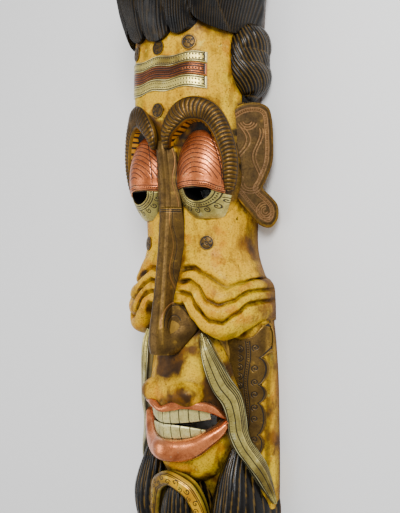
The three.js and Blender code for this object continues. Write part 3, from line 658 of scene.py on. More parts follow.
soften(wood, muzzle_seams, rounds=14)
wood_tree = tree_of([wood])


def drop_to(x, y, tree, start=260.0, missing=20.0):
    """Height of a surface below a place, in mm."""
    hit = tree.ray_cast(Vector((float(x), float(y), start)), Vector((0, 0, -1)))
    return hit[0].z if hit[0] is not None else missing


# Hair cap: fringe lobes and fine strands
LOBE_ENDS = np.array([-150.0] + [f for f, *_ in FRINGE] + [FRINGE[-1][1], 150.0])
CROWN_LEVEL = 149.9


def lobe_place(x):
    """Place of a strand inside its fringe lobe, from 0 to 1."""
    i = np.clip(np.searchsorted(LOBE_ENDS, x, side="right") - 1, 0, len(LOBE_ENDS) - 2)
    return (x - LOBE_ENDS[i]) / (LOBE_ENDS[i + 1] - LOBE_ENDS[i])


def hair_relief(p, turn):
    """Depth of the grooves between strands and of the parting between fringe lobes."""
    x = p[..., 0]
    along = turn * 88 + 3.0 * np.sin(p[..., 1] / 34)
    strand = np.abs(np.sin(along * math.pi / 2.0 * 0.9))
    gap = np.abs(2 * lobe_place(x) - 1)
    low = smooth((372 - p[..., 1]) / 60)
    return 0.9 * (1 - strand) + (3.2 * gap ** 5 * low)


cap = row_loft("hair_cap", HAIR_ROWS, step=3.4, columns=620, relief=hair_relief)
top_level = coords(cap)
top_level[:, 2] = np.minimum(top_level[:, 2], CROWN_LEVEL)
set_coords(cap, top_level)
fringe = []
for f, t, a, b, low in FRINGE:
    s = np.linspace(0, 1, 16)
    sag = np.sqrt(np.clip(1 - (2 * s - 1) ** 2, 0, 1))
    fringe += list(zip(f + (t - f) * s, a + (b - a) * s - ((a + b) / 2 - low) * sag))
window = [(-160, 150), (160, 150), (160, FRINGE[0][2])] + fringe[::-1] + [(-160, FRINGE[0][2])]
boolean(cap, prism_object(window, HAIRLINE_Z, 260), "DIFFERENCE")
boolean(cap, hollow, "DIFFERENCE", keep=True)


LOCK_X, LOCK_MID, LOCK_END = 77.5, 27.0, 206


def twisted_lock(name, side, count=120, columns=200):
    """One lock of hair in two bulges, combed into slanting strands."""
    y = np.linspace(LOCKS[0][1] + LOCKS[0][4] - 0.5, LOCK_END, count)[:, None]
    lon = np.linspace(0, 2 * math.pi, columns, endpoint=False)[None]
    wide, deep = 0 * y, 0 * y
    for _, cy, cz, rx, ry, rz in LOCKS:
        reach = np.sqrt(np.clip(1 - ((y - cy) / ry) ** 2, 0, 1))
        wide, deep = np.maximum(wide, rx * reach), np.maximum(deep, (rz + cz - LOCK_MID) * reach)
    wide, deep = np.maximum(wide, 2), np.maximum(deep, 2)
    phase = 8 * lon - side * (y - 260) * 0.16
    strand = np.abs(np.sin(phase * 2)) ** 0.8
    part = np.abs(np.sin(phase * 0.5)) ** 0.35
    r = 1 - 0.03 * (1 - strand) - 0.07 * (1 - part)
    x = side * LOCK_X + wide * np.cos(lon) * r
    z = np.maximum(LOCK_MID + deep * np.sin(lon) * r, 0)
    return ring_object(name, np.stack([x, y + 0 * lon, z], -1))


locks = [twisted_lock("hair_lock_left", 1), twisted_lock("hair_lock_right", -1)]


# Beard: one long lobe in the middle and one on each side
def beard_lobe(centre, rows, count=160, columns=180, strands=21):
    """Lobe from rows of height, half-width, front height and shift outwards, combed into strands."""
    r = spread(rows, count)
    a = np.linspace(0, math.pi, columns)[None]
    fall = np.linspace(0, 1, count)[:, None]
    groove = (1 - np.abs(np.sin(a * strands + 1.4 * np.sin(fall * 5 + a * 2)))) ** 1.4
    part = (1 - np.abs(np.cos(a * 2.5 + 0.5))) ** 4
    cut = 1.0 * groove + 1.6 * part
    half, front = r[:, 1:2] - cut, np.maximum(r[:, 2:3] - cut, 1)
    x = centre + np.sign(centre or 1) * r[:, 3:4] - np.cos(a) * half
    z = np.sin(a) ** 0.8 * front
    z[:, 0] = z[:, -1] = 0.0
    return ring_object("beard_lobe", np.stack([x, r[:, :1] + 0 * a, z], -1))


BEARD_MIDDLE = [
    (-296, 10, 84, 0), (-304, 20, 93, 0), (-316, 32, 99, 0), (-335, 42, 102, 0), (-360, 47, 101, 0),
    (-385, 46, 94, 0), (-408, 38, 80, 0), (-428, 24, 60, 0), (-440, 8, 36, 0)]
BEARD_SIDE = [
    (-248, 8, 50, 4), (-262, 16, 58, 3), (-285, 26, 70, 2), (-310, 35, 78, 3), (-335, 41, 82, 3),
    (-365, 42, 80, 0), (-390, 36, 70, -4), (-412, 26, 54, -8), (-432, 10, 28, -14)]
BEARD_X = 68
beard = [beard_lobe(0, BEARD_MIDDLE)]
beard += [beard_lobe(k, BEARD_SIDE, count=150, columns=136, strands=13) for k in (BEARD_X, -BEARD_X)]
for o, name in zip(beard, ("beard_middle", "beard_left", "beard_right")):
    boolean(o, hollow, "DIFFERENCE", keep=True)
    o.name = name
bpy.data.objects.remove(hollow)


# Metal sheets
def face_z(x, y):
    """Height of the plain face, without its grooves."""
    return section_z(FACE_ROWS, x, y)


def cover(name, grid, cut, thick, lift, depth=0.35, relief=0.0):
    """Engraved sheet; the engraved mask is kept as an attribute for the finish."""
    o = sheet_object(name, grid, thick, lift, relief - depth * cut)
    n = cut.size
    set_attribute(o, "cut", np.concatenate([cut.ravel(), np.zeros(len(o.data.vertices) - n)]))
    return o


def band_wave(x, k):
    """Wave of the edge between two strips."""
    return 1.6 * np.cos(x / BAND_HALF * math.pi * 2.5 + k * 0.4)


pieces = {}

# Headband strips: punched rows and fine lines between wavy edges
for i, name in enumerate(("band_top", "band_middle", "band_bottom")):
    x = np.linspace(-BAND_HALF, BAND_HALF, 230)[None]
    top = BAND_EDGES[i] - 0.5 + band_wave(x, i)
    low = BAND_EDGES[i + 1] + 0.5 + band_wave(x, i + 1)
    v = np.linspace(0, 1, 26)[:, None]
    y = top + (low - top) * v
    gx = x + 0 * y
    flat = np.stack([gx, y], -1)
    xs = np.linspace(-BAND_HALF + 2, BAND_HALF - 2, 120)
    mid = band_wave(xs, i + 0.5) + (BAND_EDGES[i] + BAND_EDGES[i + 1]) / 2
    wide = (BAND_EDGES[i] - BAND_EDGES[i + 1]) / 2
    lines = [np.column_stack([xs, mid + k]) for k in (wide - 2.4, -wide + 2.4)]
    dot_rows = (0,) if i == 1 else (-2.6, 2.6)
    dots = np.concatenate([dotted(np.column_stack([xs, mid + k]), 3.4) for k in dot_rows])
    if i == 1:
        lines += [np.column_stack([xs, mid + 2.6]), np.column_stack([xs, mid - 2.6])]
    for end in (BAND_HALF - 2, 2 - BAND_HALF):
        lines.append(np.array([(end, mid[0] - wide + 2), (end, mid[0] + wide - 2)]))
    cut = marks(gx.shape, flat, lines, 0.7, dots, 0.9)
    grid = np.stack([gx, y, face_z(gx, y)], -1)
    pieces[name] = cover(name, grid, cut, thick=1.2, lift=GAP + 1.3, depth=0.4)

def disc(name, cx, cy, seed):
    """Low dome on the face with a rim line, one curl in its middle and four round it."""
    r = np.linspace(0.02, 1, 20)[:, None] * DISC_RADIUS
    a = np.linspace(0, 2 * math.pi, 97)[None]
    x, y = cx + r * np.cos(a), cy + r * np.sin(a)
    flat = np.stack([x - cx, y - cy], -1)
    turned = np.random.default_rng(seed)
    lines = [arc(0, 0, 7.8, 7.8, 0, 360, 60), spiral(0, 0, 3.2, 1.5, turned.uniform(0, 6))]
    for k in range(4):
        b = k * math.pi / 2 + turned.uniform(0, 1)
        lines.append(spiral(5.2 * math.cos(b), 5.2 * math.sin(b), 1.7, 1.1, b))
    cut = marks(x.shape, flat, lines, 0.55)
    dome = 0.9 * (1 - (r / DISC_RADIUS) ** 2) + 0 * a
    c0 = np.array([cx, cy, float(face_z(cx, cy))])
    fx = float(face_z(cx + 1, cy) - face_z(cx - 1, cy)) / 2
    fy = float(face_z(cx, cy + 1) - face_z(cx, cy - 1)) / 2
    n = np.array([-fx, -fy, 1]) / math.sqrt(fx * fx + fy * fy + 1)
    ux = np.array([1, 0, fx]) / math.hypot(1, fx)
    uy = np.cross(n, ux)
    base = c0 + np.cos(a)[..., None] * r[..., None] * ux + np.sin(a)[..., None] * r[..., None] * uy
    top = base + n * (GAP + 0.95 + dome - 0.3 * cut)[..., None]
    top, base, cut = top[:, :96], base[:, :96], cut[:, :96]
    rings = np.concatenate([top, base[-1:] + n * (GAP + 0.5), base[-1:] - n * 3.0])
    o = ring_object(name, rings)
    set_attribute(o, "cut", np.concatenate([cut.ravel(), np.zeros(192)]))
    return o


# X, Y and seed of the curls
DISCS = {"disc_forehead_centre": (0, 273, 3), "disc_forehead_left": (46, 274, 4), "disc_brow": (0, 191, 5),
         "disc_cheek_left": (52, 18, 6)}
for name, place in DISCS.items():
    pieces[name] = disc(name, *place)


# Nose sheets: they stand on the face, wrap the wooden nose and meet in a seam
face_only = bare_face("face_only")
boolean(face_only, row_loft("muzzle", MUZZLE_ROWS, step=4, columns=60), "UNION")
plain_tree = tree_of([face_only])
bpy.data.objects.remove(face_only)


def nose_sheet(y_top, y_low, count):
    """Grid over the nose and its flat map: distance from the ridge, height."""
    rows = []
    for y in np.linspace(y_top, y_low, count):
        foot = rows_at(NOSE_ROWS, y)[1] + 2.0
        level = min(drop_to(foot, min(y, NOSE_TOP - 1), plain_tree), 104)
        rows.append(nose_ring(y, GAP, level - 1.2, 62))
    grid = np.array(rows)
    across = np.sum(np.linalg.norm(np.diff(grid[len(grid) // 2], axis=0), axis=1))
    s = np.linspace(-1, 1, grid.shape[1])[None] * across / 2 + 0 * grid[..., 1]
    return grid, np.stack([np.abs(s), grid[..., 1]], -1)


grid, flat = nose_sheet(NOSE_TOP, NOSE_SEAM + 0.4, 120)
ys = np.linspace(150, 66, 60)
side_lines = [np.column_stack([k + 2.6 * np.sin(ys / 9), ys]) for k in (17, 22)]
cut = 0.8 * marks(flat.shape[:2], flat, side_lines, 0.5)
tan = [marks(flat.shape[:2], flat, [side_lines[0]], 0.55)]
pieces["nose_sheet_upper"] = cover("nose_sheet_upper", grid, cut, thick=1.2, lift=1.3)

grid, flat = nose_sheet(NOSE_SEAM, NOSE_LOW, 250)
ys = np.linspace(62, -58, 90)
swing = 3.2 * np.sin(ys / 10) + np.clip(-30 - ys, 0, 40) * 0.3
side_lines = [np.column_stack([k + swing, ys]) for k in (18, 24)]
leaf = [arc(24, -84, 17, 24, 200, 20, 40), arc(24, -84, 13.5, 20, 200, 20, 40),
        arc(22, -88, 7, 11, 220, 20, 24)]
edge = [np.array([(0, 61.5), (40, 61.5)]), np.array([(0, 59), (40, 59)])]
cut = 0.8 * marks(flat.shape[:2], flat, side_lines[1:] + leaf + edge, 0.5)
tan.append(marks(flat.shape[:2], flat, [side_lines[0]] + leaf[:1], 0.6))
scoop = -1.5 * np.exp(-(((flat[..., 0] - 24) / 9) ** 2 + ((flat[..., 1] + 92) / 12) ** 2))
pieces["nose_sheet_lower"] = cover("nose_sheet_lower", grid, cut, 1.2, 1.3, depth=0.4, relief=scoop)
for name, t in zip(("nose_sheet_upper", "nose_sheet_lower"), tan):
    o = pieces[name]
    set_attribute(o, "tan", np.concatenate([t.ravel(), np.zeros(len(o.data.vertices) - t.size)]))


# Bars laid along a path: brows, moustaches, lips, chin
def bar(name, path, count, high, profile, relief=None, columns=40, sink=6.0, tilt=0.9, taper=0.35):
    """Bar with a shaped back along a path; its foot follows the wood, at most sink deep."""
    p = spread(path, count)
    c, half = p[:, :3], p[:, 3]
    along = np.gradient(c, axis=0)
    step = np.linalg.norm(along, axis=1)
    along /= step[:, None]
    length = np.concatenate([[0], np.cumsum(np.linalg.norm(np.diff(c, axis=0), axis=1))])
    out = np.stack([c[:, 0] * tilt, 0 * c[:, 0], c[:, 2]], -1)
    out /= np.linalg.norm(out, axis=1)[:, None]
    out -= along * (out * along).sum(1)[:, None]
    out /= np.linalg.norm(out, axis=1)[:, None]
    side = np.cross(along, out)
    lift = high * np.minimum(1, taper + half / 10)
    t = np.linspace(-1, 1, columns)[None]
    shape = profile(t)
    flat = np.stack([length[:, None] + 0 * t, t * half[:, None]], -1)
    cut = np.zeros(flat.shape[:2])
    extra = 0
    if relief is not None:
        cut, extra = relief(flat, half, length[-1])
    top = (c[:, None] + side[:, None] * (t * half[:, None])[..., None]
           + out[:, None] * (shape * lift[:, None] - 0.4 * cut + extra)[..., None])
    feet = []
    for k in (0, -1):
        start = top[:, k]
        foot = start.copy()
        for i in range(count):
            hit = wood_tree.ray_cast(Vector(start[i] + out[i] * 0.5), Vector(-out[i]), 60)
            far = (hit[3] - 0.5) if hit[0] is not None else sink
            foot[i] = start[i] - out[i] * max(0.3, min(far - 0.15, sink))
        feet.append(foot)
    lips = [top[:, k] - out * 0.9 for k in (0, -1)]
    first_foot, first_lip, last_lip, last_foot = (e[:, None] for e in (feet[0], lips[0], lips[1], feet[1]))
    rings = np.concatenate([first_foot, first_lip, top, last_lip, last_foot], axis=1)
    o = ring_object(name, rings)
    one, none = np.ones((count, 1)), np.zeros((count, 1))
    set_attribute(o, "cut", np.concatenate([none, 0.7 * one, cut, 0.7 * one, none], axis=1).ravel())
    set_attribute(o, "under", np.concatenate([none, none, 0 * cut, one, one], axis=1).ravel())
    bars = smooth((np.cos(length * 2 * math.pi / 9.5) - 0.1) / 0.3)[:, None]
    set_attribute(o, "stripe", np.concatenate([bars, bars, 0 * cut, bars, bars], axis=1).ravel())
    return o


def vault(t):
    """Round back of a bar, across from -1 to 1."""
    return 0.1 + 0.9 * np.clip(1 - np.abs(t) ** 2.6, 0, 1) ** 0.6


def ridge(t):
    """Back of a bar with a ridge beside its middle."""
    slope = np.clip(1 - np.abs(t + 0.15) / 1.15, 0, 1) ** 0.75
    return 0.1 + 0.9 * slope * np.where(np.abs(t) > 0.94, 0.75, 1)


def brow_relief(flat, half, total):
    """Grooves across the brow and a line along both edges."""
    s, w = flat[..., 0], flat[..., 1]
    k = np.abs(w) / half[:, None]
    wave = 0.5 + 0.5 * np.cos((s - 0.020 * w ** 2) * 2 * math.pi / 5.0)
    inner = 1 - above(k, 0.80, 0.08)
    cut = 0.75 * above(wave, 0.80, 0.18) * inner
    rim_line = np.exp(-(((k - 0.82) / 0.05) ** 2))
    return np.maximum(cut, 0.6 * rim_line), -0.45 * wave * inner + 0.2


pieces["brow_left"] = bar("brow_left", BROW_PATH, 290, 9, vault, brow_relief, columns=40, sink=24)


def moustache_relief(flat, half, total):
    """Long lines and a row of ticks."""
    s, w = flat[..., 0], flat[..., 1]
    k = w / half[:, None]
    cut = np.zeros_like(k)
    for at in (-0.92, -0.74, -0.56, -0.38, 0.25, 0.9):
        cut = np.maximum(cut, np.exp(-(((k - at - 0.03 * np.sin(s / 9)) / 0.055) ** 2)))
    tick = above(np.cos(s * 2 * math.pi / 3.4), 0.75, 0.2) * above(k, 0.60, 0.05) * below(k, 0.84, 0.05)
    return np.maximum(cut, 0.5 * tick), 0.0


pieces["moustache_left"] = bar("moustache_left", MOUSTACHE_PATH, 260, 6.5, ridge, moustache_relief,
                               columns=40, sink=30)


def chin_relief(flat, half, total):
    """Two lines along each edge and a row of curls."""
    k = np.abs(flat[..., 1]) / half[:, None]
    cut = np.maximum(np.exp(-(((k - 0.78) / 0.05) ** 2)), np.exp(-(((k - 0.62) / 0.04) ** 2)))
    lines = [spiral(c, (-1) ** i * 2.2, 3.8, 1.3, i) for i, c in enumerate(np.arange(6, total, 9.0))]
    return np.maximum(cut, marks(k.shape, flat, lines, 0.6)), 0.0


def mirrored_path(line_rows, z_of, lift):
    """Path of a bar on both sides of the middle, laid on a surface."""
    right = [(x, y, float(z_of(x, y)) + lift, w) for x, y, w in line_rows]
    left = [(-x, y, z, w) for x, y, z, w in right[1:]][::-1]
    return left + right


chin_path = [(-x, y, z, w) for x, y, z, w in CHIN_PATH[2:]][::-1] + [(0, -295, 98, 9.5)] + CHIN_PATH[2:]
pieces["chin_sheet"] = bar("chin_sheet", chin_path, 220, 9, vault, chin_relief, columns=36, sink=12)


def muzzle_z(x, y):
    return section_z(MUZZLE_ROWS, float(x), float(y))


def lip_relief(flat, half, total):
    """A line along the outer edge and fine cracks."""
    s, w = flat[..., 0], flat[..., 1]
    k = w / half[:, None]
    cracks = above(np.cos(s * 1.9 + 3 * k), 0.9, 0.1) * (np.abs(k) > 0.3)
    return np.clip(0.6 * np.exp(-(((k - 0.9) / 0.05) ** 2)) + 0.35 * cracks, 0, 1), 0.0


upper_path, lower_path = (mirrored_path(rows, muzzle_z, -1) for rows in (UPPER_LIP, LOWER_LIP))
pieces["lip_upper"] = bar("lip_upper", upper_path, 200, 8, vault, lip_relief, columns=26, sink=7)
pieces["lip_lower"] = bar("lip_lower", lower_path, 200, 13, vault, columns=36, sink=8)


# Teeth: a strip with upright grooves
def tooth_strip(name, top, low, top_out, low_out, half):
    """Strip between two heights in the middle and two at its ends."""
    t = np.linspace(-1, 1, 200)
    a, b = top + (top_out - top) * t * t, low + (low_out - low) * t * t
    v = np.linspace(0, 1, 14)[:, None]
    x = half * t[None] + 0 * v
    y = a[None] + (b - a)[None] * v
    z = section_z(MUZZLE_ROWS, x, y) - 1.4
    edge = np.abs((x / 10.5) % 1 - 0.5) * 2
    gap = 0.8 * above(edge, 0.84, 0.14)
    round_end = np.abs(v - 0.5) * 2
    grid = np.stack([x, y, z - 1.0 * gap - 1.1 * round_end ** 4], -1)
    return cover(name, grid, gap, thick=4.0, lift=0.0, depth=0.0)


pieces["teeth_upper"] = tooth_strip("teeth_upper", -198, TOOTH_LINE + 0.3, -197, TOOTH_LINE + 6, 52)
pieces["teeth_lower"] = tooth_strip("teeth_lower", TOOTH_LINE - 0.9, -240, TOOTH_LINE - 8, -236, 46)


# Eyelids
def eye_grid(grow, lon, lat):
    """Points of the eyeball grown by an amount."""
    cx, cy, cz, rx, ry, rz = EYE
    return np.stack([cx + (rx + grow) * np.cos(lat) * np.cos(lon), cy + (ry + grow) * np.sin(lat) + 0 * lon,
                     cz + (rz + grow) * np.cos(lat) * np.sin(lon)], -1)


def lid_latitude(grow, lon, shift=0.0):
    """Latitude of the line between the lids, found in a few rounds."""
    lat = np.full_like(lon, -0.28)
    for _ in range(6):
        x = EYE[0] + (EYE[3] + grow) * np.cos(lat) * np.cos(lon)
        y = line(LID_EDGE, np.clip(x, 10, 84)) + shift
        lat = np.arcsin(np.clip((y - EYE[1]) / (EYE[4] + grow), -0.95, 0.95))
    return lat


# Upper lid: rings round its middle, a dotted rim and two side lines
lid_grow = GAP + 1.4
lon = np.radians(np.linspace(24, 130, 130))[None]
edge = lid_latitude(lid_grow, lon)
v = np.linspace(0, 1, 140)[:, None]
lat = edge + (math.radians(53) - edge) * v
grid = eye_grid(lid_grow, lon, lat)
width = (lon - math.radians(74)) * 44
rise = (lat - edge) * 62
flat = np.stack([width + 0 * rise, rise], -1)
far = np.hypot(flat[..., 0] * 0.96, rise + 6)
cut = above(np.cos(far * 2 * math.pi / 5.6), 0.78, 0.2) * above(rise, 13, 3) * below(rise, 66, 5)
rim_lines = [np.array([(-40, k), (40, k)]) for k in (1.6, 6.4)]
rim_dots = dotted(np.array([(-40, 4.0), (40, 4.0)]), 2.8)
cut = np.maximum(cut, marks(rise.shape, flat, rim_lines, 0.55, rim_dots, 0.85))
t = np.linspace(0, 1, 30)
side_lines = [np.column_stack([k * (33 - t ** 2 * 14), 10 + 56 * t]) for k in (1, -1)]
cut = np.maximum(cut, marks(rise.shape, flat, side_lines, 0.6))
fold = 0.9 * np.exp(-((rise - 4) / 4.5) ** 2)
pieces["eyelid_left"] = cover("eyelid_left", grid, cut, thick=1.4, lift=0.5, relief=fold)


def eye_arc(grow):
    """Half circle below the eye hole, grown by an amount."""
    return arc(ex, ey, eh + grow, ed + grow, 180, 360, 40)


# Lower lid: two lines, dots and curls round the eye hole
lon = np.radians(np.linspace(8, 132, 116))[None]
v = np.linspace(0, 1, 110)[:, None]
edge = lid_latitude(GAP, lon, -0.8)
low_end = math.radians(-58)
grid = eye_grid(GAP, lon, low_end + (edge - low_end) * v)
flat = grid[..., :2].copy()
lines = [eye_arc(3.0), eye_arc(8.2)]
for b in np.radians(np.arange(200, 350, 21)):
    lines.append(spiral(ex + (eh + 13) * math.cos(b), ey + (ed + 12) * math.sin(b), 3.8, 1.4, b))
cut = marks(flat.shape[:2], flat, lines, 0.6, dotted(eye_arc(5.6), 3.0), 0.95)
lid = cover("lower_lid_left", grid, cut, thick=1.1, lift=1.3)
a = np.linspace(math.pi, 0, 32)
bite = np.stack([ex + (eh + 1) * np.cos(a), ey - (ed + 1) * np.sin(a)], -1)
bite = np.concatenate([bite, [(ex + eh + 1, ey + 12), (ex - eh - 1, ey + 12)]])
boolean(lid, prism_object(bite, 20, 200), "DIFFERENCE")
pieces["lower_lid_left"] = lid

# Ear sheets: rim dots, arcs, long waves and rings in the lobe
inner = round_closed(inset(EAR_OUTLINE, 4), 6)
rimmed = round_closed(inset(EAR_OUTLINE, 7), 8)
u = np.linspace(inner[:, 0].min() - 2, inner[:, 0].max() + 2, 95)[None]
y = np.linspace(inner[:, 1].max() + 2, inner[:, 1].min() - 2, 195)[:, None]
flat = np.stack([u + 0 * y, y + 0 * u], -1)
lines = [closed(rimmed), closed(round_closed(inset(EAR_OUTLINE, 11), 8))]
lines += [arc(30, 178, r, r * 0.9, 200, 340, 30) for r in (6, 9.5, 13)]
for k in (0, 5):
    t = np.linspace(0, 1, 50)
    lines.append(np.column_stack([20 + k + 9 * np.sin(t * 6.2), 170 - 66 * t]))
    lines.append(np.column_stack([42 + k * 0.8 + 5 * np.sin(t * 6.2 + 1), 168 - 62 * t]))
lines += [arc(54, 60, r, r, 90, 330, 30) for r in (3, 6, 9, 12)]
lines += [arc(34, 96, r, r * 0.8, 180, 330, 24) for r in (8, 12, 16)]
dots = dotted(closed(round_closed(inset(EAR_OUTLINE, 9), 8)), 3.0)
cut = marks(flat.shape[:2], flat, lines, 0.65, dots, 0.9)
near = nearest_line(flat.reshape(-1, 2), [closed(rimmed)]).reshape(cut.shape)
base = ear_place(flat[..., 0], flat[..., 1], GAP + 1.35 - 0.45 * smooth(near / 7) - 0.35 * cut)
under = ear_place(flat[..., 0], flat[..., 1], GAP)
ear = closed_sheet("ear_sheet_left", base, under)
rest = np.zeros(len(ear.data.vertices) - cut.size)
set_attribute(ear, "cut", np.concatenate([0.7 * cut.ravel(), rest]))
set_attribute(ear, "tan", np.concatenate([0.55 * cut.ravel(), rest]))
inner = round_closed([(u, y) if u > 5 else (u - 3, y) for u, y in inset(EAR_OUTLINE, 3)], 6)
stamp = np.stack([ear_place(inner[:, 0], inner[:, 1], z) for z in (-4.0, 8.0)])
boolean(ear, ring_object("stamp", stamp), "INTERSECT")
pieces["ear_sheet_left"] = ear

# Cheek panels: a dotted upright line, bent lines and a curl in each scallop
PANEL_TOP, PANEL_LOW = -90, -286
path_x, path_y = zip(*[row[:2] for row in MOUSTACHE_PATH[::-1]])
# Height and X of the notches
NOTCHES = [(-92, 105), (-133, 100.5), (-168, 99.5), (-192, 99.5), (-234, 99), (-262, 96), (-286, 86)]


def panel_edge(at):
    """Scalloped outer edge: a round lobe between each two notches."""
    tab = np.array(NOTCHES[::-1], float)
    i = np.clip(np.searchsorted(tab[:, 0], at, side="right") - 1, 0, len(tab) - 2)
    a, b = tab[i], tab[i + 1]
    k = (at - a[..., 0]) / (b[..., 0] - a[..., 0])
    return a[..., 1] + (b[..., 1] - a[..., 1]) * k + 7.4 * np.clip(1 - (2 * k - 1) ** 2, 0, 1) ** 0.55


edge_y = np.linspace(PANEL_LOW, PANEL_TOP, 160)
edge_line = np.column_stack([panel_edge(edge_y) - 2.4, edge_y])
v = np.linspace(0, 1, 270)[:, None]
q = np.linspace(0, 1, 84)[None]
top = line(JOWL_EDGE, 50 + 56 * q) - 0.5
y = top + (PANEL_LOW - top) * v
inner_x = np.interp(y, path_y, path_x) + 3.0
outer_x = np.maximum(panel_edge(y), inner_x + 0.4)
x = inner_x + (outer_x - inner_x) * q
flat = np.stack([x, y], -1)
lines = [spiral(95, c, 4.4, 1.6, 0.5) for c in (-120, -147, -165, -181, -198, -213, -240, -256)]
t = np.linspace(0, 1, 60)
lines += [np.column_stack([k + 1.5 * np.sin(t * 14), -112 - 160 * t]) for k in (83, 88)]
for c in (-122, -134, -146, -158, -170):
    lines += [arc(73, c, r, r * 0.62, -70, 70, 24) for r in (4.5, 7.5)]
lines.append(edge_line)
dots = dotted(np.column_stack([85.5 + 1.5 * np.sin(t * 14), -112 - 160 * t]), 3.2)
cut = marks(flat.shape[:2], flat, lines, 0.6, dots, 0.85)
muzzle_level = np.where(np.abs(x) < rows_at(MUZZLE_ROWS, y)[..., 1] - 0.2, section_z(MUZZLE_ROWS, x, y), 0)
grid = np.stack([x, y, np.maximum(section_z(SLAB_ROWS, x, y), muzzle_level)], -1)
pieces["cheek_panel_left"] = cover("cheek_panel_left", grid, cut, thick=1.1, lift=GAP + 1.2)

for name in [n for n in pieces if n.endswith("_left")]:
    other = name.replace("_left", "_right")
    pieces[other] = mirror_object(pieces[name], other)


# Finishes
def rgb(r, g, b, dim=0.8):
    """Surface colour for the stage light: eye colour made linear, a little purer and darker."""
    linear = [v / 12.92 if v <= 0.04045 else ((v + 0.055) / 1.055) ** 2.4 for v in (r, g, b)]
    level = 0.3 * linear[0] + 0.6 * linear[1] + 0.1 * linear[2]
    return tuple(max(0.0, level + (v - level) * 1.15) * dim for v in linear) + (1.0,)


class Finish:
    """Small helper round one node tree."""

    def __init__(self, name):
        self.m = bpy.data.materials.new(name)
        self.m.use_nodes = True
        self.t = self.m.node_tree
        self.t.nodes.clear()
        self.out = self.t.nodes.new("ShaderNodeOutputMaterial")
        self.shader = self.t.nodes.new("ShaderNodeBsdfPrincipled")
        self.t.links.new(self.shader.outputs[0], self.out.inputs[0])
        self.place = self.t.nodes.new("ShaderNodeTexCoord").outputs["Object"]

    def link(self, a, b):
        self.t.links.new(a, b)

    def feed(self, socket, value):
        """Sets a constant, or links the output of a node."""
        if isinstance(value, (int, float, tuple)):
            socket.default_value = value
        else:
            self.link(value, socket)

    def node(self, kind, **inputs):
        """New node with its inputs fed by their names."""
        n = self.t.nodes.new("ShaderNode" + kind)
        for name, value in inputs.items():
            self.feed(n.inputs[name.replace("_", " ")], value)
        return n

    def attribute(self, name):
        n = self.node("Attribute")
        n.attribute_name = name
        return n.outputs["Fac"]

    def noise(self, scale, detail=4.0, stretch=None, rough=0.55):
        place = self.place
        if stretch is not None:
            place = self.node("Mapping", Vector=place, Scale=stretch).outputs[0]
        n = self.node("TexNoise", Vector=place, Scale=scale, Detail=detail, Roughness=rough)
        return n.outputs["Fac"]

    def ramp(self, value, low, high, a=0.0, b=1.0):
        """Smooth step of a value between low and high, from a to b."""
        n = self.node("MapRange", From_Min=low, From_Max=high, To_Min=a, To_Max=b)
        n.interpolation_type = "SMOOTHSTEP"
        self.link(value, n.inputs["Value"])
        return n.outputs[0]

    def math(self, kind, a, b):
        n = self.node("Math")
        n.operation = kind
        n.use_clamp = True
        for i, v in enumerate((a, b)):
            self.feed(n.inputs[i], v)
        return n.outputs[0]

    def mix(self, factor, a, b):
        n = self.node("Mix")
        n.data_type = "RGBA"
        # Inputs 6 and 7 are this node's colours, and output 2 is the mixed one
        for i, v in ((0, factor), (6, a), (7, b)):
            self.feed(n.inputs[i], v)
        return n.outputs[2]

    def wash(self, under, tone, value, low, high, share):
        """Lays a tone over the colour where the value lies between low and high, up to a share."""
        return self.mix(self.math("MULTIPLY", self.ramp(value, low, high), share), under, tone)

    def finish(self, color, rough=0.5, metal=0.0, bump=None, strength=0.3, distance=0.0006):
        for socket, value in (("Base Color", color), ("Roughness", rough), ("Metallic", metal)):
            self.feed(self.shader.inputs[socket], value)
        if bump is not None:
            n = self.node("Bump", Strength=strength, Distance=distance, Height=bump)
            self.link(n.outputs[0], self.shader.inputs["Normal"])
        return self.m


def metal_finish(name, base, bright, dark, grime, rough=(0.28, 0.5), patina=0.5, metal=0.85, painted=False):
    """Hammered sheet: worn bright on high places, painted shade in hollows and walled-in places, dark lines
    and stains.
    """
    f = Finish(name)
    cut, high = f.attribute("cut"), f.attribute("high")
    broad, mid, fine = f.noise(18, 5), f.noise(70, 6, None, 0.62), f.noise(380, 5, None, 0.65)
    c = f.mix(f.ramp(broad, 0.60 - 0.25 * patina, 0.74), base, dark)
    c = f.wash(c, dark, mid, 0.46, 0.68, 0.75 * patina + 0.15)
    c = f.wash(c, dark, fine, 0.46, 0.66, 0.5)
    c = f.wash(c, bright, mid, 0.42, 0.30, 0.5)
    c = f.wash(c, bright, high, 0.05, 0.45, 0.6)
    c = f.wash(c, grime, cut, 0.12, 0.6, 0.95)
    # Painted shade: the low attribute mixes hollow and walled-in places toward the dark grime and shade
    # colour
    c = f.mix(f.math("MULTIPLY", f.attribute("low"), f.ramp(mid, 0.3, 0.7, 0.65, 1.0)), c, grime)
    worn = f.math("MULTIPLY", f.attribute("tan"), f.ramp(broad, 0.3, 0.6, 0.4, 0.9))
    c = f.mix(worn, c, rgb(0.70, 0.50, 0.30))
    m = f.ramp(cut, 0.1, 0.9, metal, 0.35)
    if painted:
        under = f.attribute("under")
        c = f.mix(under, c, f.mix(f.attribute("stripe"), rgb(0.78, 0.56, 0.14), rgb(0.10, 0.07, 0.05)))
        m = f.mix(under, m, (0.0, 0.0, 0.0, 1.0))
    r = f.ramp(fine, 0.3, 0.7, rough[0], rough[1])
    return f.finish(c, r, m, f.noise(240, 4), 0.35, 0.0005)


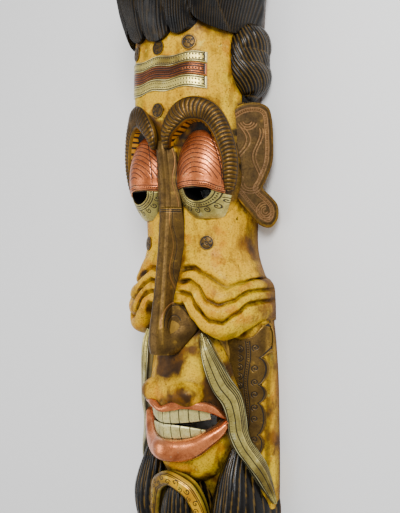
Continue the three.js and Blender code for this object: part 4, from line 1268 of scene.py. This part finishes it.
BRASS = metal_finish("aged_brass", rgb(0.42, 0.325, 0.18), rgb(0.72, 0.57, 0.30), rgb(0.24, 0.17, 0.085),
                     rgb(0.08, 0.055, 0.03), (0.34, 0.55), 0.6, 0.8)
HORN = metal_finish("horn_brass", rgb(0.42, 0.31, 0.15), rgb(0.66, 0.50, 0.25), rgb(0.26, 0.19, 0.09),
                    rgb(0.10, 0.07, 0.04), (0.34, 0.55), 0.6, 0.8, True)
# Brass of the ears, made darker as painted shade against the key lamp's reflection on their flat faces
EAR = metal_finish("shaded_ear_brass", rgb(0.31, 0.235, 0.125), rgb(0.56, 0.42, 0.22), rgb(0.20, 0.145, 0.075),
                   rgb(0.07, 0.05, 0.03), (0.4, 0.6), 0.6, 0.8)
STRIP = metal_finish("strip_silver", rgb(0.96, 0.89, 0.56), rgb(1.0, 1.0, 0.86), rgb(0.62, 0.53, 0.30),
                     rgb(0.13, 0.09, 0.05), (0.26, 0.42), 0.3, 0.75)
GOLD = metal_finish("bright_brass", rgb(1.0, 0.78, 0.29), rgb(1.0, 0.93, 0.48), rgb(0.80, 0.55, 0.18),
                    rgb(0.16, 0.10, 0.04), (0.26, 0.42), 0.2, 0.6)
BAND = metal_finish("brown_copper", rgb(0.62, 0.36, 0.22), rgb(0.90, 0.62, 0.42), rgb(0.36, 0.20, 0.12),
                    rgb(0.09, 0.05, 0.03), (0.28, 0.45), 0.5, 0.75)
COPPER = metal_finish("worn_copper", rgb(0.90, 0.54, 0.37), rgb(1.0, 0.78, 0.58), rgb(0.46, 0.24, 0.15),
                      rgb(0.12, 0.06, 0.04), (0.26, 0.42), 0.4, 0.85)
LIP = metal_finish("bright_copper", rgb(1.0, 0.63, 0.44), rgb(1.0, 0.86, 0.70), rgb(0.58, 0.30, 0.19),
                   rgb(0.14, 0.07, 0.045), (0.18, 0.34), 0.5, 0.85)
SILVER = metal_finish("nickel_silver", rgb(0.85, 0.79, 0.50), rgb(1.0, 1.0, 0.82), rgb(0.50, 0.43, 0.24),
                      rgb(0.13, 0.09, 0.05), (0.26, 0.42), 0.4, 0.8)
TOOTH = metal_finish("tooth_metal", rgb(0.92, 0.87, 0.60), rgb(1.0, 0.98, 0.76), rgb(0.60, 0.52, 0.30),
                     rgb(0.09, 0.065, 0.04), (0.3, 0.5), 0.4, 0.45)


def paint_finish():
    """Yellow paint, stained and rubbed, with grime and painted shade, dark paint and bare wood where the
    attributes say so.
    """
    f = Finish("painted_wood")
    broad, mid, fine = f.noise(9, 5), f.noise(34, 6), f.noise(420, 5, None, 0.65)
    streaks = f.noise(60, 6, (1, 0.35, 1), 0.65)
    c = f.mix(f.ramp(broad, 0.46, 0.66), rgb(0.93, 0.73, 0.12), rgb(0.95, 0.80, 0.22))
    c = f.wash(c, rgb(0.84, 0.58, 0.05), mid, 0.50, 0.66, 0.85)
    c = f.wash(c, rgb(0.62, 0.44, 0.09), streaks, 0.50, 0.66, 0.7)
    c = f.wash(c, rgb(0.40, 0.32, 0.10), f.noise(22, 6, (1, 0.5, 1)), 0.57, 0.70, 0.75)
    c = f.wash(c, rgb(0.50, 0.33, 0.08), fine, 0.48, 0.66, 0.6)
    c = f.wash(c, rgb(1.0, 0.92, 0.40), fine, 0.40, 0.28, 0.6)
    c = f.wash(c, rgb(1.0, 0.92, 0.48), f.noise(90, 4), 0.64, 0.72, 0.5)
    # Brown patches by noise, more of them on the stains and, as painted shade, in walled-in places
    patch = f.ramp(f.math("ADD", f.noise(26, 6), f.math("MULTIPLY", f.attribute("ochre"), 0.28)), 0.56, 0.78)
    c = f.mix(patch, c, f.mix(f.ramp(mid, 0.35, 0.65), rgb(0.54, 0.36, 0.12), rgb(0.24, 0.16, 0.08)))
    c = f.wash(c, rgb(0.12, 0.08, 0.05), f.noise(230, 3), 0.68, 0.72, 0.9)
    # Dark brown for the painted shade on the side wall by the ear
    brown = f.mix(f.ramp(fine, 0.35, 0.65), rgb(0.44, 0.32, 0.17), rgb(0.26, 0.19, 0.10))
    c = f.mix(f.attribute("brown"), c, brown)
    # Grime and painted shade where the wood's attribute marks hollows and walled-in places
    grime = f.math("MULTIPLY", f.attribute("grime"), f.ramp(streaks, 0.3, 0.7, 0.65, 1.0))
    c = f.mix(grime, c, rgb(0.12, 0.08, 0.045))
    grain = f.ramp(f.noise(60, 5, (1, 0.12, 1)), 0.35, 0.7)
    c = f.mix(f.attribute("bare"), c, f.mix(grain, rgb(0.42, 0.29, 0.18), rgb(0.27, 0.18, 0.11)))
    # Black paint for the stripes and sockets, and as painted shade in the eye holes and mouth
    c = f.mix(f.attribute("black"), c, rgb(0.055, 0.05, 0.05))
    f.shader.inputs["Specular IOR Level"].default_value = 0.14
    return f.finish(c, f.ramp(fine, 0.3, 0.7, 0.34, 0.6), 0.0, f.noise(260, 6), 0.45, 0.0007)


def hair_finish():
    """Black lacquer, rubbed brown on the fine lines, and bare wood behind."""
    f = Finish("black_lacquer")
    streaks = f.noise(40, 5, (1, 0.15, 1))
    c = f.mix(f.ramp(streaks, 0.4, 0.7), rgb(0.025, 0.02, 0.02), rgb(0.06, 0.05, 0.045))
    rubbed = f.math("MULTIPLY", f.attribute("line"), f.ramp(f.noise(48, 3), 0.34, 0.5))
    c = f.mix(rubbed, c, rgb(0.42, 0.33, 0.17))
    c = f.mix(f.attribute("bare"), c, rgb(0.30, 0.21, 0.13))
    f.shader.inputs["Specular IOR Level"].default_value = 0.22
    return f.finish(c, f.ramp(f.noise(90, 5), 0.3, 0.7, 0.2, 0.38), 0.0, f.noise(180, 4), 0.2, 0.0004)


PAINT, HAIR = paint_finish(), hair_finish()


def shut_in(o, tree, reach, rays, keep):
    """How far a place is walled in by what stands round it, from 0 to 1."""
    co, n = coords(o)[keep], vertex_normals(o)[keep]
    k = np.arange(rays) + 0.5
    rise = 1 - 0.9 * k / rays
    turn = k * 2.4
    flat_part = np.sqrt(1 - rise * rise)
    other = np.where(np.abs(n[:, :1]) > 0.8, [[0.0, 1.0, 0.0]], [[1.0, 0.0, 0.0]])
    a = np.cross(n, other)
    a /= np.linalg.norm(a, axis=1).clip(1e-6)[:, None]
    b = np.cross(n, a)
    parts = ((a, flat_part * np.cos(turn)), (b, flat_part * np.sin(turn)), (n, rise))
    ways = sum(axis[:, None] * amount[None, :, None] for axis, amount in parts)
    start = co + n * 0.8
    total = np.zeros(len(co))
    for i, (p, fan) in enumerate(zip(start.tolist(), ways.tolist())):
        for w in fan:
            far = tree.ray_cast(p, w, reach)[3]
            if far is not None:
                total[i] += 1 - far / reach
    result = np.zeros(len(keep))
    result[keep] = total / rays
    return result


carved = [wood, cap] + locks + beard


def in_hollow(p):
    """1 on the gouged back and the flat rim, 0 on the carved front."""
    px, py, pz = np.abs(p[:, 0]), np.clip(p[:, 1], -290, 258), p[:, 2]
    r = rows_at(HOLLOW_ROWS, py)
    wall = r[:, 1] + (r[:, 0] - r[:, 1]) * np.clip(1 - pz / r[:, 2], 0, 1) + 1.3
    roof = section_z(HOLLOW_ROWS, np.minimum(px, r[:, 1]), py) + 1.6
    under = (p[:, 1] < 260) & (p[:, 1] > -292) & (px < wall)
    under &= pz < np.where(px < r[:, 1] - 0.5, roof, r[:, 2] + 1)
    return (under | (p[:, 2] < 0.4)).astype(float)


# Where the painted wood is dark, stained or bare, and where it carries painted shade
co, n = coords(wood), vertex_normals(wood)
x, y, z = np.abs(co[:, 0]), co[:, 1], co[:, 2]
inside = in_hollow(co)
all_tree = tree_of(carved + list(pieces.values()))
# How walled in each front place is, from ray casts round it; this drives painted shade below
walled = shut_in(wood, all_tree, reach=34.0, rays=10, keep=(inside < 0.5) & (z > 1))

# Eye holes and mouth painted black as painted shade of the dark hollow behind; black stripes under the brow
# arches and dark sockets behind
eye_in = ((x - ex) / (eh + 0.8)) ** 2 + ((y - ey) / (ed + 0.8)) ** 2 < 1
muzzle_level = section_z(MUZZLE_ROWS, np.minimum(x, 60), np.clip(y, -300, -70))
mouth_in = (x < 64) & (y > -246) & (y < -200) & (z > 60) & (z < muzzle_level - 2)
rel = np.hypot((x - SOCKET[0]) / SOCKET[3], (y - SOCKET[1]) / SOCKET[4])
turn = np.arctan2(y - SOCKET[1], x - SOCKET[0])
stripe = smooth((np.cos(turn * 16) + 0.1) / 0.5)
in_socket = (rel < 1.06) & (y > 96) & (z > 40)
arch = np.maximum(0.85 * stripe * (rel > 0.7), below(rel, 0.80, 0.14))
black = np.maximum((eye_in & (y < ey + 1)) | mouth_in, in_socket * arch)

# Grime and painted shade: darker in hollows and crevices, painted shade where nearby forms wall a place in, a
# painted shade line on the side rim below, painted shade on the side wall by the ear, and darker under the
# nose above the lips
low = np.clip(hollows(wood, 4) / 0.5, 0, 1)
rim_level = section_z(SLAB_ROWS, np.minimum(x, 108), np.clip(y, -428, -50))
ear_side = (x > 84) & (z < 62) & (y > 30) & (y < 210)
grime = np.maximum.reduce([
    np.where(y > -108, 0.72, 0.95) * low,
    np.where(y > -108, 0.7, 0.95) * above(walled, 0.16, 0.30),
    0.35 * ear_side,
    0.8 * below(np.abs(z - rim_level), 6, 6) * (y < -84) * (x > 52) * above(x, 104, 3),
    0.6 * above(z, 96, 10) * below(y, -122, 8) * above(y, -172, 14) * below(x, 34, 14)])
# Brown stains on the muzzle, under the nose and low down, and painted shade where nearby forms wall a place
# in
ochre = np.maximum.reduce([
    0.75 * below(y, -108, 16) * above(y, -262, 40) * (z > 50),
    0.5 * above(walled, 0.05, 0.2),
    1.3 * below(y, -118, 10) * above(y, -166, 10) * below(x, 30, 12) * (z > 70),
    0.45 * below(z, 70, 30)])
# Painted shade: the side wall between the brow and the ear in dark brown, like a shadowed gap
side_wall = above(x, 76, 4) * above(y, 52, 10) * below(y, 206, 6) * (z < 96)
side_wall = side_wall * above(np.abs(n[:, 0]), 0.35, 0.3)
brown = np.maximum(0.9 * side_wall, 0.75 * ear_side)
wood_marks = {"black": black, "grime": grime, "ochre": ochre, "brown": brown, "bare": inside}
for name, values in wood_marks.items():
    set_attribute(wood, name, values)

for o in carved[1:]:
    low = np.clip(hollows(o, 2) / 0.12, 0, 1)
    set_attribute(o, "line", 0.85 * above(low, 0.2, 0.6) * (0.25 if o is cap else 1.0))
    set_attribute(o, "bare", in_hollow(coords(o)))

# Finish and material slot by the first word of a piece's name; only the finish is put on a piece, the slot is
# looked up and left unused
LOOKS = {
    "disc": (BRASS, "brass_sheet"), "nose": (BRASS, "brass_sheet"), "brow": (HORN, "brass_sheet"),
    "ear": (EAR, "brass_sheet"), "cheek": (BRASS, "brass_sheet"), "chin": (GOLD, "brass_sheet"),
    "eyelid": (COPPER, "copper_sheet"), "lip": (LIP, "copper_sheet"),
    "lower": (SILVER, "nickel_silver_sheet"),
    "moustache": (SILVER, "nickel_silver_sheet"), "band": (STRIP, "nickel_silver_sheet"),
    "teeth": (TOOTH, "tooth_sheet")}
walled_left = {}
for name, o in pieces.items():
    look, slot = LOOKS[name.split("_")[0]]
    if name == "band_middle":
        look, slot = BAND, "copper_sheet"
    # Painted shade for each sheet: darker in its hollows and where other forms wall it in, kept as the low
    # attribute
    depth = hollows(o, 3)
    if name.endswith("_right"):
        near = walled_left[name.replace("_right", "_left")]
    else:
        near = shut_in(o, all_tree, reach=24.0, rays=7, keep=vertex_normals(o)[:, 2] > -0.3)
        walled_left[name] = near
    most = 0.25 if name.startswith(("cheek", "chin", "teeth")) else 0.8
    shade = np.maximum(np.clip(depth / 0.5, 0, 1) * 0.6, most * above(near, 0.14, 0.34))
    # The chin sheet is also darker on its -X half, fading out by X = 14 mm
    if name == "chin_sheet":
        shade = np.maximum(shade, 0.75 * below(coords(o)[:, 0], 14, 16))
    set_attribute(o, "low", shade)
    set_attribute(o, "high", np.clip(-depth, 0, 1))
    o.data.materials.clear()
    o.data.materials.append(look)
    o.name = name + "_piece"
    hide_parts(name)
    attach(o, "root")
for o in carved:
    o.data.materials.clear()
    o.data.materials.append(PAINT if o is wood else HAIR)
    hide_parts("mask_body")
    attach(o, "root")
for o in carved + list(pieces.values()):
    o.data.polygons.foreach_set("use_smooth", np.ones(len(o.data.polygons), bool))
    o.data.set_sharp_from_angle(angle=math.radians(50))
    o.data.update()

# Stage, lamps and camera
bpy.ops.mesh.primitive_plane_add(size=6.0, location=(0, 0, 0))
floor = bpy.context.object
floor.name = "floor"
f = Finish("floor_white")
floor.data.materials.append(f.finish((0.95, 0.95, 0.95, 1.0), 0.7))

world = bpy.data.worlds.new("world")
bpy.context.scene.world = world
world.use_nodes = True
world.node_tree.nodes["Background"].inputs[0].default_value = (1, 1, 1, 1)
world.node_tree.nodes["Background"].inputs[1].default_value = 0.62


def lamp(name, place, target, size, power):
    """Square area lamp at a place, aimed at a target, in metres and watts."""
    data = bpy.data.lights.new(name, "AREA")
    data.shape, data.size, data.energy = "SQUARE", size, power
    o = bpy.data.objects.new(name, data)
    bpy.context.scene.collection.objects.link(o)
    aim = (Vector(target) - Vector(place)).to_track_quat("-Z", "Y")
    o.matrix_world = Matrix.Translation(place) @ aim.to_matrix().to_4x4()


lamp("key", (0.9, 0.7, 1.3), (0, 0.05, 0.05), size=0.6, power=30)
lamp("fill", (-0.9, -0.2, 1.2), (0, 0, 0.05), size=1.0, power=8)

angle = math.radians(40)
right, up, back = (math.cos(angle), 0, -math.sin(angle)), (0, 1, 0), (math.sin(angle), 0, math.cos(angle))
camera = bpy.data.cameras.new("camera")
camera.lens, camera.sensor_width = 50.76, 36
cam = bpy.data.objects.new("camera", camera)
bpy.context.scene.collection.objects.link(cam)
cam.matrix_world = Matrix.Translation((0.650, 0, 0.810)) @ Matrix((right, up, back)).transposed().to_4x4()
bpy.context.scene.camera = cam
